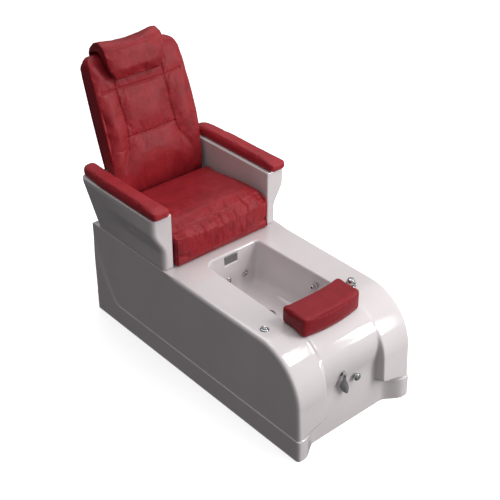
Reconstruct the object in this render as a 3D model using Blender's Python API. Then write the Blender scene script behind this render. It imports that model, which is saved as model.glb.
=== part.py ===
"""Pedicure spa chair: a glossy foot-bath base with a sliding, reclining upholstered chair on top.

Metres, +Z up, +X to the sitter's left, and the sitter faces -Y. Every piece is placed from one
empty, front_datum, which stands on the floor under the middle of the base's front edge.
"""

import math

import bmesh
import bpy
import numpy as np
from mathutils import Matrix, Vector

# ---------------------------------------------------------------- driving dimensions
FRONT_Y = -0.79895  # front datum in the part's frame, so that the part is centred on its origin
GAP = 0.0003  # between pieces that touch

BASE_HALF_WIDTH = 0.335
BASE_LENGTH = 1.460
DECK_Z = 0.495
SHELL_WALL = 0.006
SHELL_BOTTOM_Z = 0.002
EDGE_RADIUS = 0.016
REAR_CORNER_RADIUS = 0.024
SKIRT_Z = 0.105
SKIRT_STEP = 0.0045
BULGE_Z = 0.25  # height where the upright front turns into the big front curve
BULGE_DEPTH = 0.24
BULGE_LEAN = 0.010
RECESS_DEPTH = 0.048
RECESS_TOP_Z = 0.455

BASIN_FRONT_Y = 0.235
BASIN_REAR_Y = 0.815
BASIN_HALF_FRONT = 0.168
BASIN_HALF_REAR = 0.152
BASIN_LIP_RADIUS = 0.012
BASIN_TOP_Z = 0.473
BASIN_FLOOR_Z = 0.287
BASIN_WALL = 0.005
BASIN_DRAFT = math.tan(math.radians(4))
DRAIN_Y = 0.56
DRAIN_HOLE = 0.021

ARM_FRONT_Y = 0.881
ARM_INNER_X = 0.275
ARM_BOTTOM_Z = 0.4985
ARM_TOP_Z = 0.768
ARM_WALL = 0.005
ARM_PAD_TOP_Z = 0.809

SEAT_HALF_WIDTH = 0.268
SEAT_FRONT_Y = 0.865
SEAT_REAR_Y = 1.298
PAN_LOW_Z = 0.552
PAN_TOP_Z = 0.564

HINGE_Y = 1.360
HINGE_Z = 0.600
BACK_TILT = math.radians(17.5)  # behind upright, at rest
BACK_HALF_WIDTH = 0.2465
LEVER_ANGLE = math.radians(8.5)  # the recline lever's foot lies behind its axis, at rest
LEVER_RADIUS = 0.068

FOOTREST_X = -0.022
FOOTREST_HALF_LENGTH = 0.166
FOOTREST_POST_Y = 0.185
FOOTREST_POST_SPREAD = 0.090

RAIL_X = 0.27
PUMP_X = 0.10
PUMP_Z = 0.165
JET_XS = {"left": 0.072, "right": -0.028}
JET_Z = 0.352
JET_BALL = 0.0110

ROUND_SIDES = 20


# ---------------------------------------------------------------- scene and materials
def clear_scene():
    for obj in list(bpy.data.objects):
        bpy.data.objects.remove(obj, do_unlink=True)


def finish(name, colour, roughness, metallic=0.0):
    material = bpy.data.materials.new(name)
    material.use_nodes = True
    shader = material.node_tree.nodes["Principled BSDF"]
    shader.inputs["Base Color"].default_value = (*colour, 1.0)
    shader.inputs["Roughness"].default_value = roughness
    shader.inputs["Metallic"].default_value = metallic
    material.diffuse_color = (*colour, 1.0)
    return material


def make_finishes():
    return {
        "gelcoat": finish("gelcoat", (0.66, 0.62, 0.62), 0.12),
        "red_leather": finish("red_leather", (0.27, 0.030, 0.040), 0.42),
        "chrome": finish("chrome", (0.78, 0.78, 0.80), 0.08, 1.0),
        "steel": finish("steel", (0.32, 0.33, 0.35), 0.38, 0.8),
        "black_plastic": finish("black_plastic", (0.03, 0.03, 0.032), 0.5),
        "hose": finish("hose", (0.42, 0.42, 0.44), 0.45),
        "rubber": finish("rubber", (0.02, 0.02, 0.02), 0.8),
    }


def datum(name, location, parent=None, rotation=(0.0, 0.0, 0.0)):
    empty = bpy.data.objects.new(name, None)
    bpy.context.scene.collection.objects.link(empty)
    empty.location = location
    empty.rotation_euler = rotation
    empty.parent = parent
    return empty


# ---------------------------------------------------------------- shapes: (vertices, faces)
def box(low, high):
    (x0, y0, z0), (x1, y1, z1) = low, high
    points = [(x, y, z) for z in (z0, z1) for y in (y0, y1) for x in (x0, x1)]
    faces = [(0, 2, 3, 1), (4, 5, 7, 6), (0, 1, 5, 4), (2, 6, 7, 3), (0, 4, 6, 2), (1, 3, 7, 5)]
    return points, faces


def prism(outline, axis, low, high):
    """The 2-D outline carried along an axis: (y, z) points for X, (x, z) for Y and (x, y) for Z."""
    count = len(outline)
    points = []
    for level in (low, high):
        for a, b in outline:
            point = [a, b]
            point.insert("XYZ".index(axis), level)
            points.append(tuple(point))
    faces = [tuple(range(count)), tuple(range(count, 2 * count))]
    for i in range(count):
        j = (i + 1) % count
        faces.append((i, j, count + j, count + i))
    return points, faces


def turned(profile, axis="Z", sides=ROUND_SIDES, centre=(0.0, 0.0, 0.0)):
    """A closed profile of (radius, height) points turned round an axis through centre."""
    rings = []
    points = []
    for radius, height in profile:
        ring = []
        for i in range(1 if radius == 0 else sides):
            angle = 2 * math.pi * i / sides
            a, b = radius * math.cos(angle), radius * math.sin(angle)
            point = {"Z": (a, b, height), "Y": (b, height, a), "X": (height, a, b)}[axis]
            ring.append(len(points))
            points.append(tuple(p + c for p, c in zip(point, centre)))
        rings.append(ring)
    faces = []
    closed = profile[0][0] > 0 or profile[-1][0] > 0
    for k in range(len(rings) if closed else len(rings) - 1):
        lower, upper = rings[k], rings[(k + 1) % len(rings)]
        for i in range(sides):
            j = (i + 1) % sides
            corners = [lower[i % len(lower)], lower[j % len(lower)],
                       upper[j % len(upper)], upper[i % len(upper)]]
            corners = list(dict.fromkeys(corners))
            if len(corners) > 2:
                faces.append(tuple(corners))
    return points, faces


def rod(radius, low, high, axis="Z", centre=(0.0, 0.0, 0.0), sides=ROUND_SIDES, chamfer=0.0):
    profile = [(0, low), (radius - chamfer, low), (radius, low + chamfer),
               (radius, high - chamfer), (radius - chamfer, high), (0, high)]
    if not chamfer:
        profile = [(0, low), (radius, low), (radius, high), (0, high)]
    return turned(profile, axis, sides, centre)


def square_tube(low, high, axis, wall):
    """A rectangular tube with open ends along an axis."""
    along = "XYZ".index(axis)
    inner_low = [c + (0 if k == along else wall) for k, c in enumerate(low)]
    inner_high = [c - (0 if k == along else wall) for k, c in enumerate(high)]
    others = [k for k in range(3) if k != along]

    def corners(lo, hi, level):
        found = []
        for a, b in ((0, 0), (1, 0), (1, 1), (0, 1)):
            point = [0.0, 0.0, 0.0]
            point[along] = level
            point[others[0]] = (lo, hi)[a][others[0]]
            point[others[1]] = (lo, hi)[b][others[1]]
            found.append(tuple(point))
        return found

    points = (corners(low, high, low[along]) + corners(low, high, high[along])
              + corners(inner_low, inner_high, low[along])
              + corners(inner_low, inner_high, high[along]))
    faces = []
    for i in range(4):
        j = (i + 1) % 4
        faces += [(i, j, 4 + j, 4 + i), (8 + i, 8 + j, 12 + j, 12 + i),
                  (i, j, 8 + j, 8 + i), (4 + i, 4 + j, 12 + j, 12 + i)]
    return points, faces


def moved(shape, matrix):
    points, faces = shape
    return [tuple(matrix @ Vector(p)) for p in points], faces


def arc(centre, radius, start, end, steps):
    """Points on an arc, both ends included, with its angles in degrees."""
    angles = np.radians(np.linspace(start, end, steps + 1))
    return [(centre[0] + radius * math.cos(a), centre[1] + radius * math.sin(a)) for a in angles]


def rounded_rectangle(x0, y0, x1, y1, radius, steps=4):
    return (arc((x1 - radius, y0 + radius), radius, -90, 0, steps)
            + arc((x1 - radius, y1 - radius), radius, 0, 90, steps)
            + arc((x0 + radius, y1 - radius), radius, 90, 180, steps)
            + arc((x0 + radius, y0 + radius), radius, 180, 270, steps))


# ---------------------------------------------------------------- meshes and objects
def mesh_of(name, shape):
    mesh = bpy.data.meshes.new(name)
    mesh.from_pydata(shape[0], [], shape[1])
    work = bmesh.new()
    work.from_mesh(mesh)
    bmesh.ops.recalc_face_normals(work, faces=work.faces)
    work.to_mesh(mesh)
    work.free()
    return mesh


def combined(name, base, tools, operation="UNION"):
    """The mesh of a shape after exact Booleans with the others."""
    mesh = base if isinstance(base, bpy.types.Mesh) else mesh_of("body", base)
    body = bpy.data.objects.new("body", mesh)
    bpy.context.scene.collection.objects.link(body)
    helpers = [body]
    for tool in tools:
        helper = bpy.data.objects.new("tool", mesh_of("tool", tool))
        bpy.context.scene.collection.objects.link(helper)
        helpers.append(helper)
        modifier = body.modifiers.new("combine", "BOOLEAN")
        modifier.object = helper
        modifier.operation = operation
        modifier.solver = "EXACT"
    graph = bpy.context.evaluated_depsgraph_get()
    mesh = bpy.data.meshes.new_from_object(body.evaluated_get(graph))
    mesh.name = name
    for helper in helpers:
        bpy.data.objects.remove(helper, do_unlink=True)
    return mesh


def piece(name, shape, material, parent, location=(0.0, 0.0, 0.0), bevel=0.0, segments=2, crease=30):
    """One sub-part: a shape or a mesh, placed under its parent, with softened edges where asked."""
    mesh = shape if isinstance(shape, bpy.types.Mesh) else mesh_of(name, shape)
    mesh.name = name
    mesh.materials.clear()
    mesh.materials.append(material)
    mesh.shade_smooth()
    mesh.set_sharp_from_angle(angle=math.radians(crease))
    obj = bpy.data.objects.new(name, mesh)
    bpy.context.scene.collection.objects.link(obj)
    obj.parent = parent
    obj.location = location
    if bevel:
        modifier = obj.modifiers.new("soft edges", "BEVEL")
        modifier.width = bevel
        modifier.segments = segments
        modifier.limit_method = "ANGLE"
        modifier.angle_limit = math.radians(40)
    return obj


def hose(name, route, radius, material, parent):
    """A round hose through hand-placed points, straight at both ends."""
    curve = bpy.data.curves.new(name, "CURVE")
    curve.dimensions = "3D"
    curve.bevel_depth = radius
    curve.bevel_resolution = 2
    curve.use_fill_caps = True
    curve.resolution_u = 5
    spline = curve.splines.new("BEZIER")
    spline.bezier_points.add(len(route) - 1)
    for knot, point in zip(spline.bezier_points, route):
        knot.co = point
        knot.handle_left_type = "AUTO"
        knot.handle_right_type = "AUTO"
    curve.materials.append(material)
    obj = bpy.data.objects.new(name, curve)
    bpy.context.scene.collection.objects.link(obj)
    obj.parent = parent
    return obj


# ---------------------------------------------------------------- base shell and basin
def smooth_step(value):
    value = min(1.0, max(0.0, value))
    return value * value * (3 - 2 * value)


def front_surface(z, inset=0.0):
    """How far behind the datum the side columns' front lies at height z, moved in by inset."""
    if z <= BULGE_Z:
        return BULGE_LEAN * (z / BULGE_Z) ** 2 + inset
    turn = np.linspace(0, math.pi / 2, 200)
    rise = DECK_Z - BULGE_Z
    out_y = np.cos(turn) / BULGE_DEPTH
    out_z = np.sin(turn) / rise
    length = np.hypot(out_y, out_z)
    heights = BULGE_Z + rise * np.sin(turn) - inset * out_z / length
    depths = BULGE_LEAN + BULGE_DEPTH * (1 - np.cos(turn)) + inset * out_y / length
    return float(np.interp(z, heights, depths))


def recess_mask(x, z):
    """1 in the front's sunken middle panel, 0 on the columns beside it."""
    spread = smooth_step((z - SKIRT_Z) / 0.12)
    inner = 0.200 + (0.155 - 0.200) * spread
    outer = 0.300 + (0.172 - 0.300) * spread
    return 1 - smooth_step((abs(x) - inner) / (outer - inner))


def recess(x, z):
    fade = 1 - smooth_step((z - 0.20) / (RECESS_TOP_Z - 0.20))
    return RECESS_DEPTH * recess_mask(x, z) * fade


def base_outline(z, front_z):
    """Outline of the base shell's outer skin, at height z round the sides and front_z in front."""
    step = SKIRT_STEP if z > SKIRT_Z else 0.0
    drop = min(EDGE_RADIUS, DECK_Z - z)
    last_turn = max(0.15, math.acos(1 - drop / EDGE_RADIUS))
    half = BASE_HALF_WIDTH - step
    half_points = []
    for x in (0, 0.06, 0.11, 0.145, 0.158, 0.170, 0.205, 0.25, 0.285, half - EDGE_RADIUS):
        y = front_surface(front_z) + step * (1 - recess_mask(x, z)) + recess(x, z)
        half_points.append((x, y, front_z))
    for k, turn in enumerate(np.linspace(0, last_turn, 5)[1:]):
        inset = EDGE_RADIUS * (1 - math.cos(turn))
        x = half - EDGE_RADIUS * (1 - math.sin(turn))
        height = front_z + (z - front_z) * (k + 1) / 4
        half_points.append((x, front_surface(front_z, inset) + step, height))
    edge_inset = EDGE_RADIUS * (1 - math.sin(last_turn))
    side_x = half - edge_inset
    start_y = half_points[-1][1]
    rear_y = BASE_LENGTH - step - edge_inset
    radius = REAR_CORNER_RADIUS - edge_inset
    for part in np.linspace(0, 1, 7)[1:-1]:
        half_points.append((side_x, start_y + part * (rear_y - radius - start_y), z))
    corner = arc((side_x - radius, rear_y - radius), radius, 0, 90, 4)
    half_points += [(x, y, z) for x, y in corner + [(0.2, rear_y), (0.1, rear_y), (0.0, rear_y)]]
    return half_points + [(-x, y, h) for x, y, h in reversed(half_points[1:-1])]


def basin_outline(offset, z):
    """Plan outline of the foot basin's wall, moved out by offset."""
    corners = [
        (BASIN_HALF_FRONT, BASIN_FRONT_Y, 0.05, -90), (BASIN_HALF_REAR, BASIN_REAR_Y, 0.03, 0),
        (-BASIN_HALF_REAR, BASIN_REAR_Y, 0.03, 90), (-BASIN_HALF_FRONT, BASIN_FRONT_Y, 0.05, 180),
    ]
    found = []
    for x, y, radius, start in corners:
        centre = (x - math.copysign(radius, x), y + (radius if y == BASIN_FRONT_Y else -radius))
        found += arc(centre, radius + offset, start, start + 90, 4)
    return [(x, y, z) for x, y in found]


def add_strips(work, rings):
    for lower, upper in zip(rings, rings[1:]):
        for i in range(len(lower)):
            j = (i + 1) % len(lower)
            work.faces.new((lower[i], lower[j], upper[j], upper[i]))


def add_flat(work, outer, inner):
    """Fills the flat ring between two loops of vertices."""
    edges = []
    for ring in (outer, inner):
        for i, vertex in enumerate(ring):
            other = ring[(i + 1) % len(ring)]
            edges.append(work.edges.get((vertex, other)) or work.edges.new((vertex, other)))
    bmesh.ops.triangle_fill(work, edges=edges, use_beauty=True)


def thickened(name, work, wall):
    """The mesh of an open skin given a wall on its inner side."""
    mesh = bpy.data.meshes.new(name)
    work.to_mesh(mesh)
    work.free()
    obj = bpy.data.objects.new(name, mesh)
    bpy.context.scene.collection.objects.link(obj)
    modifier = obj.modifiers.new("wall", "SOLIDIFY")
    modifier.thickness = wall
    modifier.offset = -1
    modifier.use_even_offset = True
    graph = bpy.context.evaluated_depsgraph_get()
    thick = bpy.data.meshes.new_from_object(obj.evaluated_get(graph))
    bpy.data.objects.remove(obj, do_unlink=True)
    return thick


def make_base_shell(finishes, front):
    work = bmesh.new()
    turns = np.radians([12, 24, 36, 48, 58, 68, 76])
    levels = [SHELL_BOTTOM_Z, 0.06, SKIRT_Z - 0.0015, SKIRT_Z + 0.003, 0.16, 0.21, BULGE_Z]
    levels += [BULGE_Z + (DECK_Z - BULGE_Z) * math.sin(t) for t in turns]
    # The front curve stops a little short of the deck, so that the flat starts ahead of the basin.
    levels = [(z, z) for z in levels] + [(DECK_Z - 0.0018, 0.4905), (DECK_Z, 0.4925)]
    rings = [[work.verts.new(p) for p in base_outline(*level)] for level in levels]
    add_strips(work, rings)
    lip = []
    for turn in np.radians([0, 30, 60, 90]):
        offset = BASIN_LIP_RADIUS * (1 - math.sin(turn))
        lip.append(basin_outline(offset, DECK_Z - BASIN_LIP_RADIUS * (1 - math.cos(turn))))
    lip.append(basin_outline(0, BASIN_TOP_Z))
    lip_rings = [[work.verts.new(p) for p in outline] for outline in lip]
    add_flat(work, rings[-1], lip_rings[0])
    add_strips(work, [list(reversed(ring)) for ring in lip_rings])
    bmesh.ops.recalc_face_normals(work, faces=work.faces)
    lowest = min(work.faces, key=lambda f: f.calc_center_median().z)
    if lowest.normal.dot(Vector((*lowest.calc_center_median().xy, 0)) - Vector((0, 0.7, 0))) < 0:
        bmesh.ops.reverse_faces(work, faces=work.faces)
    skin = thickened("base_shell", work, SHELL_WALL)
    cuts = [box((-0.215, BASE_LENGTH - 0.06, 0.135), (0.215, BASE_LENGTH + 0.05, 0.415))]
    for side in (-1, 1):
        centre = (FOOTREST_X + side * FOOTREST_POST_SPREAD, FOOTREST_POST_Y, 0)
        cuts.append(rod(0.0088, 0.40, 0.52, "Z", centre, 16))
    shell = combined("base_shell", skin, cuts, "DIFFERENCE")
    return piece("base_shell", shell, finishes["gelcoat"], front)


def make_basin(finishes, front):
    work = bmesh.new()
    fillet = 0.045
    wall_foot_z = BASIN_FLOOR_Z + fillet
    levels = [BASIN_TOP_Z - GAP, 0.42, 0.37, wall_foot_z]
    sections = [(-(BASIN_TOP_Z - z) * BASIN_DRAFT, z) for z in levels]
    foot_offset = sections[-1][0]
    for turn in np.radians([22, 45, 68, 90]):
        offset = foot_offset - fillet * (1 - math.cos(turn))
        sections.append((offset, wall_foot_z - fillet * math.sin(turn)))
    # The wall's corner radii shrink with the offset, so they stay above zero down to the floor.
    rings = []
    for offset, z in sections:
        outline = basin_outline(max(offset, -0.026), z)
        extra = min(0.0, offset + 0.026)
        shrunk = [(x + math.copysign(1, x) * extra, y - math.copysign(1, 0.5 - y) * extra, h)
                  for x, y, h in outline]
        rings.append([work.verts.new(p) for p in shrunk])
    add_strips(work, [list(reversed(ring)) for ring in rings])
    drain = [(DRAIN_HOLE * math.cos(a), DRAIN_Y + DRAIN_HOLE * math.sin(a), BASIN_FLOOR_Z)
             for a in np.linspace(0, 2 * math.pi, ROUND_SIDES, endpoint=False)]
    add_flat(work, rings[-1], [work.verts.new(p) for p in drain])
    bmesh.ops.recalc_face_normals(work, faces=work.faces)
    floor_face = min(work.faces, key=lambda f: f.calc_center_median().z)
    if floor_face.normal.z < 0:
        bmesh.ops.reverse_faces(work, faces=work.faces)
    skin = thickened("basin", work, BASIN_WALL)
    cuts = []
    for x in JET_XS.values():
        cuts.append(rod(0.0125, 0.77, 0.86, "Y", (x, 0, JET_Z), 16))
    basin = combined("basin", skin, cuts, "DIFFERENCE")
    return piece("basin", basin, finishes["gelcoat"], front)


def make_rear_panel(finishes, front):
    face_y = BASE_LENGTH - SKIRT_STEP + GAP
    plate = prism(rounded_rectangle(-0.240, 0.115, 0.240, 0.437, 0.018), "Y", face_y, face_y + 0.004)
    cuts = []
    for row in range(6):
        z = 0.300 + row * 0.018
        slot = rounded_rectangle(-0.15, z, 0.15, z + 0.007, 0.0034, 2)
        cuts.append(prism(slot, "Y", face_y - 0.01, face_y + 0.02))
    cuts.append(box((0.100, face_y - 0.01, 0.160), (0.144, face_y + 0.02, 0.186)))
    cuts.append(rod(0.0113, face_y - 0.01, face_y + 0.02, "Y", (-0.12, 0, 0.173), 16))
    panel = combined("rear_service_panel", plate, cuts, "DIFFERENCE")
    piece("rear_service_panel", panel, finishes["gelcoat"], front)
    flange = box((0.092, face_y + 0.0043, 0.152), (0.152, face_y + 0.0073, 0.194))
    socket = box((0.1005, face_y - 0.022, 0.1605), (0.1435, face_y + 0.006, 0.1855))
    well = box((0.106, face_y - 0.014, 0.165), (0.138, face_y + 0.02, 0.181))
    inlet = combined("power_inlet", flange, [socket])
    inlet = combined("power_inlet", inlet, [well], "DIFFERENCE")
    piece("power_inlet", inlet, finishes["black_plastic"], front)
    stub = turned([(0.006, -0.03), (0.0108, -0.03), (0.0108, 0.0043), (0.016, 0.0043), (0.016, 0.010),
                   (0.0105, 0.010), (0.0105, 0.024), (0.006, 0.024)], "Y", ROUND_SIDES,
                  (-0.12, face_y, 0.173))
    piece("water_inlet", stub, finishes["chrome"], front)


# ---------------------------------------------------------------- frame and plumbing
def make_frame(finishes, front):
    steel = finishes["steel"]
    low, high, width = 0.032, 0.072, 0.025
    front_y, rear_y = 0.10, 1.40
    for side, name in ((1, "left"), (-1, "right")):
        x0, x1 = sorted((side * (RAIL_X - width / 2), side * (RAIL_X + width / 2)))
        piece(f"frame_rail_{name}", square_tube((x0, front_y, low), (x1, rear_y, high), "Y", 0.002),
              steel, front)
        for y, place in ((0.885, "middle"), (1.375, "rear")):
            post = square_tube((x0, y - 0.0125, high + GAP), (x1, y + 0.0125, DECK_Z - SHELL_WALL - 0.001),
                               "Z", 0.002)
            piece(f"frame_post_{place}_{name}", post, steel, front)
        for y, place in ((0.14, "front"), (1.36, "rear")):
            foot = turned([(0, 0), (0.020, 0), (0.024, 0.004), (0.024, 0.010), (0.018, 0.022),
                           (0.018, low - GAP), (0, low - GAP)], "Z", 16)
            piece(f"foot_{place}_{name}", foot, finishes["rubber"], front, (side * RAIL_X, y, 0))
    inner = RAIL_X - width / 2 - GAP
    bar = square_tube((-inner, 0.12, low), (inner, 0.12 + width, high), "X", 0.002)
    piece("frame_cross_front", bar, steel, front)
    tray = prism([(0.985, high + GAP), (1.33, high + GAP), (1.33, high + 0.012), (1.327, high + 0.012),
                  (1.327, high + 0.0033), (0.988, high + 0.0033), (0.988, high + 0.012),
                  (0.985, high + 0.012)], "X", -RAIL_X, RAIL_X)
    piece("equipment_tray", tray, steel, front)


def make_pump(finishes, front):
    tray_top = 0.072 + 0.0033
    centre = (PUMP_X, 0, PUMP_Z)
    volute = turned([(0.022, 0.955), (0.022, 0.992), (0.066, 0.992), (0.070, 0.998), (0.070, 1.044),
                     (0.066, 1.050), (0.0078, 1.050), (0.0078, 1.042), (0.055, 1.042), (0.055, 0.999),
                     (0.017, 0.999), (0.017, 0.955)], "Y", 24, centre)
    outlet = rod(0.018, 0.060, 0.095, "Z", (PUMP_X, 1.021, PUMP_Z), 16)
    cradle = box((PUMP_X - 0.045, 1.004, tray_top + GAP), (PUMP_X + 0.045, 1.038, PUMP_Z - 0.060))
    volute = combined("pump_volute", volute, [outlet, cradle])
    piece("pump_volute", volute, finishes["black_plastic"], front)

    disc = turned([(0, -0.017), (0.006, -0.017), (0.006, -0.004), (0.048, -0.001), (0.048, 0.003),
                   (0.006, 0.006), (0.006, 0.040), (0, 0.040)], "Y", 24)
    vanes = []
    for i in range(6):
        vane = box((0.008, -0.014, -0.0015), (0.046, 0.001, 0.0015))
        vanes.append(moved(vane, Matrix.Rotation(i * math.pi / 3 + 0.05, 4, "Y")))
    impeller = combined("pump_impeller", disc, vanes)
    piece("pump_impeller", impeller, finishes["black_plastic"], front, (PUMP_X, 1.026, PUMP_Z))

    motor = turned([(0.0072, 1.0503), (0.050, 1.0503), (0.055, 1.056), (0.055, 1.215), (0.045, 1.232),
                    (0, 1.232), (0, 1.085), (0.0072, 1.085)], "Y", 24, centre)
    feet = [box((PUMP_X - 0.05, y, tray_top + GAP), (PUMP_X + 0.05, y + 0.02, PUMP_Z - 0.035))
            for y in (1.08, 1.18)]
    cable_box = box((PUMP_X - 0.025, 1.11, PUMP_Z + 0.04), (PUMP_X + 0.025, 1.17, PUMP_Z + 0.075))
    piece("pump_motor", combined("pump_motor", motor, feet + [cable_box]), finishes["steel"], front)

    floor_under = BASIN_FLOOR_Z - BASIN_WALL - 0.001
    hose("suction_hose", [(PUMP_X, 0.9547, PUMP_Z), (PUMP_X, 0.90, PUMP_Z), (PUMP_X - 0.01, 0.79, 0.178),
                          (PUMP_X - 0.02, 0.715, 0.225), (PUMP_X - 0.02, 0.71, floor_under - 0.02),
                          (PUMP_X - 0.02, 0.71, floor_under)],
         0.014, finishes["hose"], front)
    manifold_y = 0.855
    hose("pressure_hose", [(PUMP_X, 1.021, PUMP_Z + 0.0955), (PUMP_X, 1.021, 0.290),
                           (0.075, 0.975, 0.348), (0.022, 0.905, JET_Z),
                           (0.022, manifold_y + 0.0157, JET_Z)],
         0.011, finishes["hose"], front)
    manifold = rod(0.015, JET_XS["right"] - 0.02, JET_XS["left"] + 0.02, "X",
                   (0, manifold_y, JET_Z), 16, 0.003)
    piece("jet_manifold", manifold, finishes["hose"], front)


def make_jets_and_drain(finishes, front):
    chrome = finishes["chrome"]
    wall_y = BASIN_REAR_Y - (BASIN_TOP_Z - JET_Z) * BASIN_DRAFT
    for side, x in JET_XS.items():
        flange = turned([(0.0104, -0.0065), (0.0140, -0.0065), (0.0175, -0.0038), (0.0178, -0.0022),
                         (0.0122, -0.0022), (0.0122, 0.0310), (0.0113, 0.0310), (0.0113, -0.0045),
                         (0.0104, -0.0045)], "Y", 20)
        piece(f"jet_flange_{side}", flange, chrome, front, (x, wall_y, JET_Z))
        # The nozzle is a ball with a bore, and swivels in the flange.
        ball = [(r, y) for y, r in arc((0, 0), JET_BALL, 24, 156, 8)]
        nozzle = turned(ball, "Y", 16)
        piece(f"jet_nozzle_{side}", nozzle, chrome, front, (x, wall_y, JET_Z))
    spout_z, spout_y = 0.437, 0.431
    share = (spout_y - BASIN_FRONT_Y) / (BASIN_REAR_Y - BASIN_FRONT_Y)
    wall_x = BASIN_HALF_FRONT + (BASIN_HALF_REAR - BASIN_HALF_FRONT) * share
    wall_x -= (BASIN_TOP_Z - spout_z) * BASIN_DRAFT
    spout = turned([(0.005, -0.026), (0.008, -0.026), (0.0095, -0.022), (0.0095, -0.007),
                    (0.015, -0.005), (0.015, -0.0020), (0.005, -0.0020)], "X", 16)
    piece("fill_spout", spout, chrome, front, (wall_x, spout_y, spout_z))

    strainer = turned([(0.0125, 0.0010), (0.030, 0.0010), (0.032, 0.0022), (0.030, 0.0038),
                       (0.0175, 0.0038), (0.0165, 0.0020), (0.0165, -0.030), (0.0125, -0.030)],
                      "Z", 24)
    # The tube below the flange passes down through the basin's drain hole.
    tube = turned([(0.0125, -0.040), (0.0195, -0.040), (0.0195, 0.0020), (0.0125, 0.0020)], "Z", 24)
    strainer = combined("drain_strainer", strainer, [tube])
    piece("drain_strainer", strainer, chrome, front, (0, DRAIN_Y, BASIN_FLOOR_Z))
    stopper = turned([(0, -0.020), (0.0035, -0.020), (0.0035, 0.0042), (0.020, 0.0042), (0.0215, 0.0055),
                      (0.019, 0.0080), (0.010, 0.0098), (0, 0.0102)], "Z", 20)
    piece("drain_stopper", stopper, chrome, front, (0, DRAIN_Y, BASIN_FLOOR_Z))
    hose("drain_hose", [(0, DRAIN_Y, BASIN_FLOOR_Z - 0.0405), (0, DRAIN_Y, 0.20), (-0.02, 0.62, 0.13),
                        (-0.10, 0.80, 0.11), (-0.13, 1.10, 0.11), (-0.13, 1.30, 0.11),
                        (-0.13, 1.36, 0.11)], 0.016, finishes["hose"], front)


# ---------------------------------------------------------------- controls
def make_deck_controls(finishes, front):
    chrome = finishes["chrome"]
    deck = DECK_Z + GAP
    bezel = turned([(0.0115, 0), (0.0195, 0), (0.0195, 0.0020), (0.0170, 0.0048), (0.0140, 0.0058),
                    (0.0115, 0.0050)], "Z", 24)
    piece("air_button_bezel", bezel, chrome, front, (-0.272, 0.284, deck))
    button = turned([(0, 0.0045), (0.0105, 0.0045), (0.0112, 0.0055), (0.0112, 0.0090),
                     (0.0080, 0.0110), (0, 0.0118)], "Z", 20)
    piece("air_button", button, chrome, front, (-0.272, 0.284, deck))

    collar = turned([(0, 0), (0.0230, 0), (0.0230, 0.0030), (0.0200, 0.0065), (0.0110, 0.0085),
                     (0.0110, 0.0120), (0, 0.0120)], "Z", 24)
    piece("mixer_valve_collar", collar, chrome, front, (0.212, 0.272, deck))
    knob = turned([(0, 0.0123), (0.0165, 0.0123), (0.0185, 0.0150), (0.0185, 0.0260), (0.0150, 0.0340),
                   (0.0080, 0.0380), (0, 0.0390)], "Z", 24)
    lugs = []
    for i in range(3):
        lug = rod(0.0065, 0.014, 0.029, "Z", (0.0185, 0, 0), 12, 0.002)
        lugs.append(moved(lug, Matrix.Rotation(math.radians(40 + 120 * i), 4, "Z")))
    piece("mixer_handle", combined("mixer_handle", knob, lugs), chrome, front, (0.212, 0.272, deck))


def make_front_controls(finishes, front):
    """The drain lever and the flow knob, standing out from the sunken front panel."""
    chrome = finishes["chrome"]
    mounts = []
    spots = (("lever_mount", -0.052, 0.294, 0.013), ("knob_mount", 0.032, 0.235, 0.014))
    for name, x, z, radius in spots:
        nearest = min(front_surface(h) + recess(0.0, h) for h in (z - radius, z, z + radius))
        mounts.append(datum(name, (x, nearest - 0.0010, z), front))
    knob = turned([(0, 0), (0.0130, 0), (0.0130, -0.0050), (0.0095, -0.0065), (0.0095, -0.0095),
                   (0.0170, -0.0110), (0.0175, -0.0165), (0.0130, -0.0210), (0, -0.0230)], "Y", 20)
    piece("flow_knob", knob, chrome, mounts[1])

    rose = turned([(0, 0), (0.0130, 0), (0.0130, -0.0015), (0.0080, -0.0030), (0, -0.0030)], "Y", 20)
    piece("lever_rose", rose, chrome, mounts[0])
    ball = turned([(0, -0.0033), (0.0060, -0.0033), (0.0085, -0.0065), (0.0095, -0.0110),
                   (0.0080, -0.0160), (0.0045, -0.0190), (0, -0.0200)], "Y", 20)
    leaf = [(-0.006, -0.002), (-0.009, -0.020), (-0.022, -0.042), (-0.020, -0.056), (-0.006, -0.083),
            (0.014, -0.106), (0.022, -0.110), (0.030, -0.102), (0.034, -0.083), (0.027, -0.060),
            (0.013, -0.034), (0.006, -0.002)]
    lever = combined("drain_lever", ball, [prism(leaf, "Y", -0.0145, -0.0085)])
    piece("drain_lever", lever, chrome, mounts[0], bevel=0.0015)


# ---------------------------------------------------------------- footrest
def footrest_outline(inset):
    """Plan outline: a gentle arch, hollow towards the sitter, with rounded ends."""
    half = FOOTREST_HALF_LENGTH - inset
    corner = 0.020
    front_y, rear_y = 0.148 + inset, 0.284 - inset

    def bow(x, depth):
        return depth * (1 - (x / half) ** 2)

    straight = half - corner
    points = [(x, front_y - bow(x, 0.014)) for x in np.linspace(-straight, straight, 7)]
    points += arc((straight, front_y - bow(straight, 0.014) + corner), corner, -90, 0, 3)[1:]
    points += arc((straight, rear_y - corner), corner, 0, 90, 3)
    points += [(x, rear_y - bow(x, 0.008)) for x in np.linspace(straight, -straight, 7)[1:]]
    points += arc((-straight, rear_y - corner), corner, 90, 180, 3)[1:]
    points += arc((-straight, front_y - bow(straight, 0.014) + corner), corner, 180, 270, 3)[:-1]
    return [(x + FOOTREST_X, y) for x, y in points]


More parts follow.
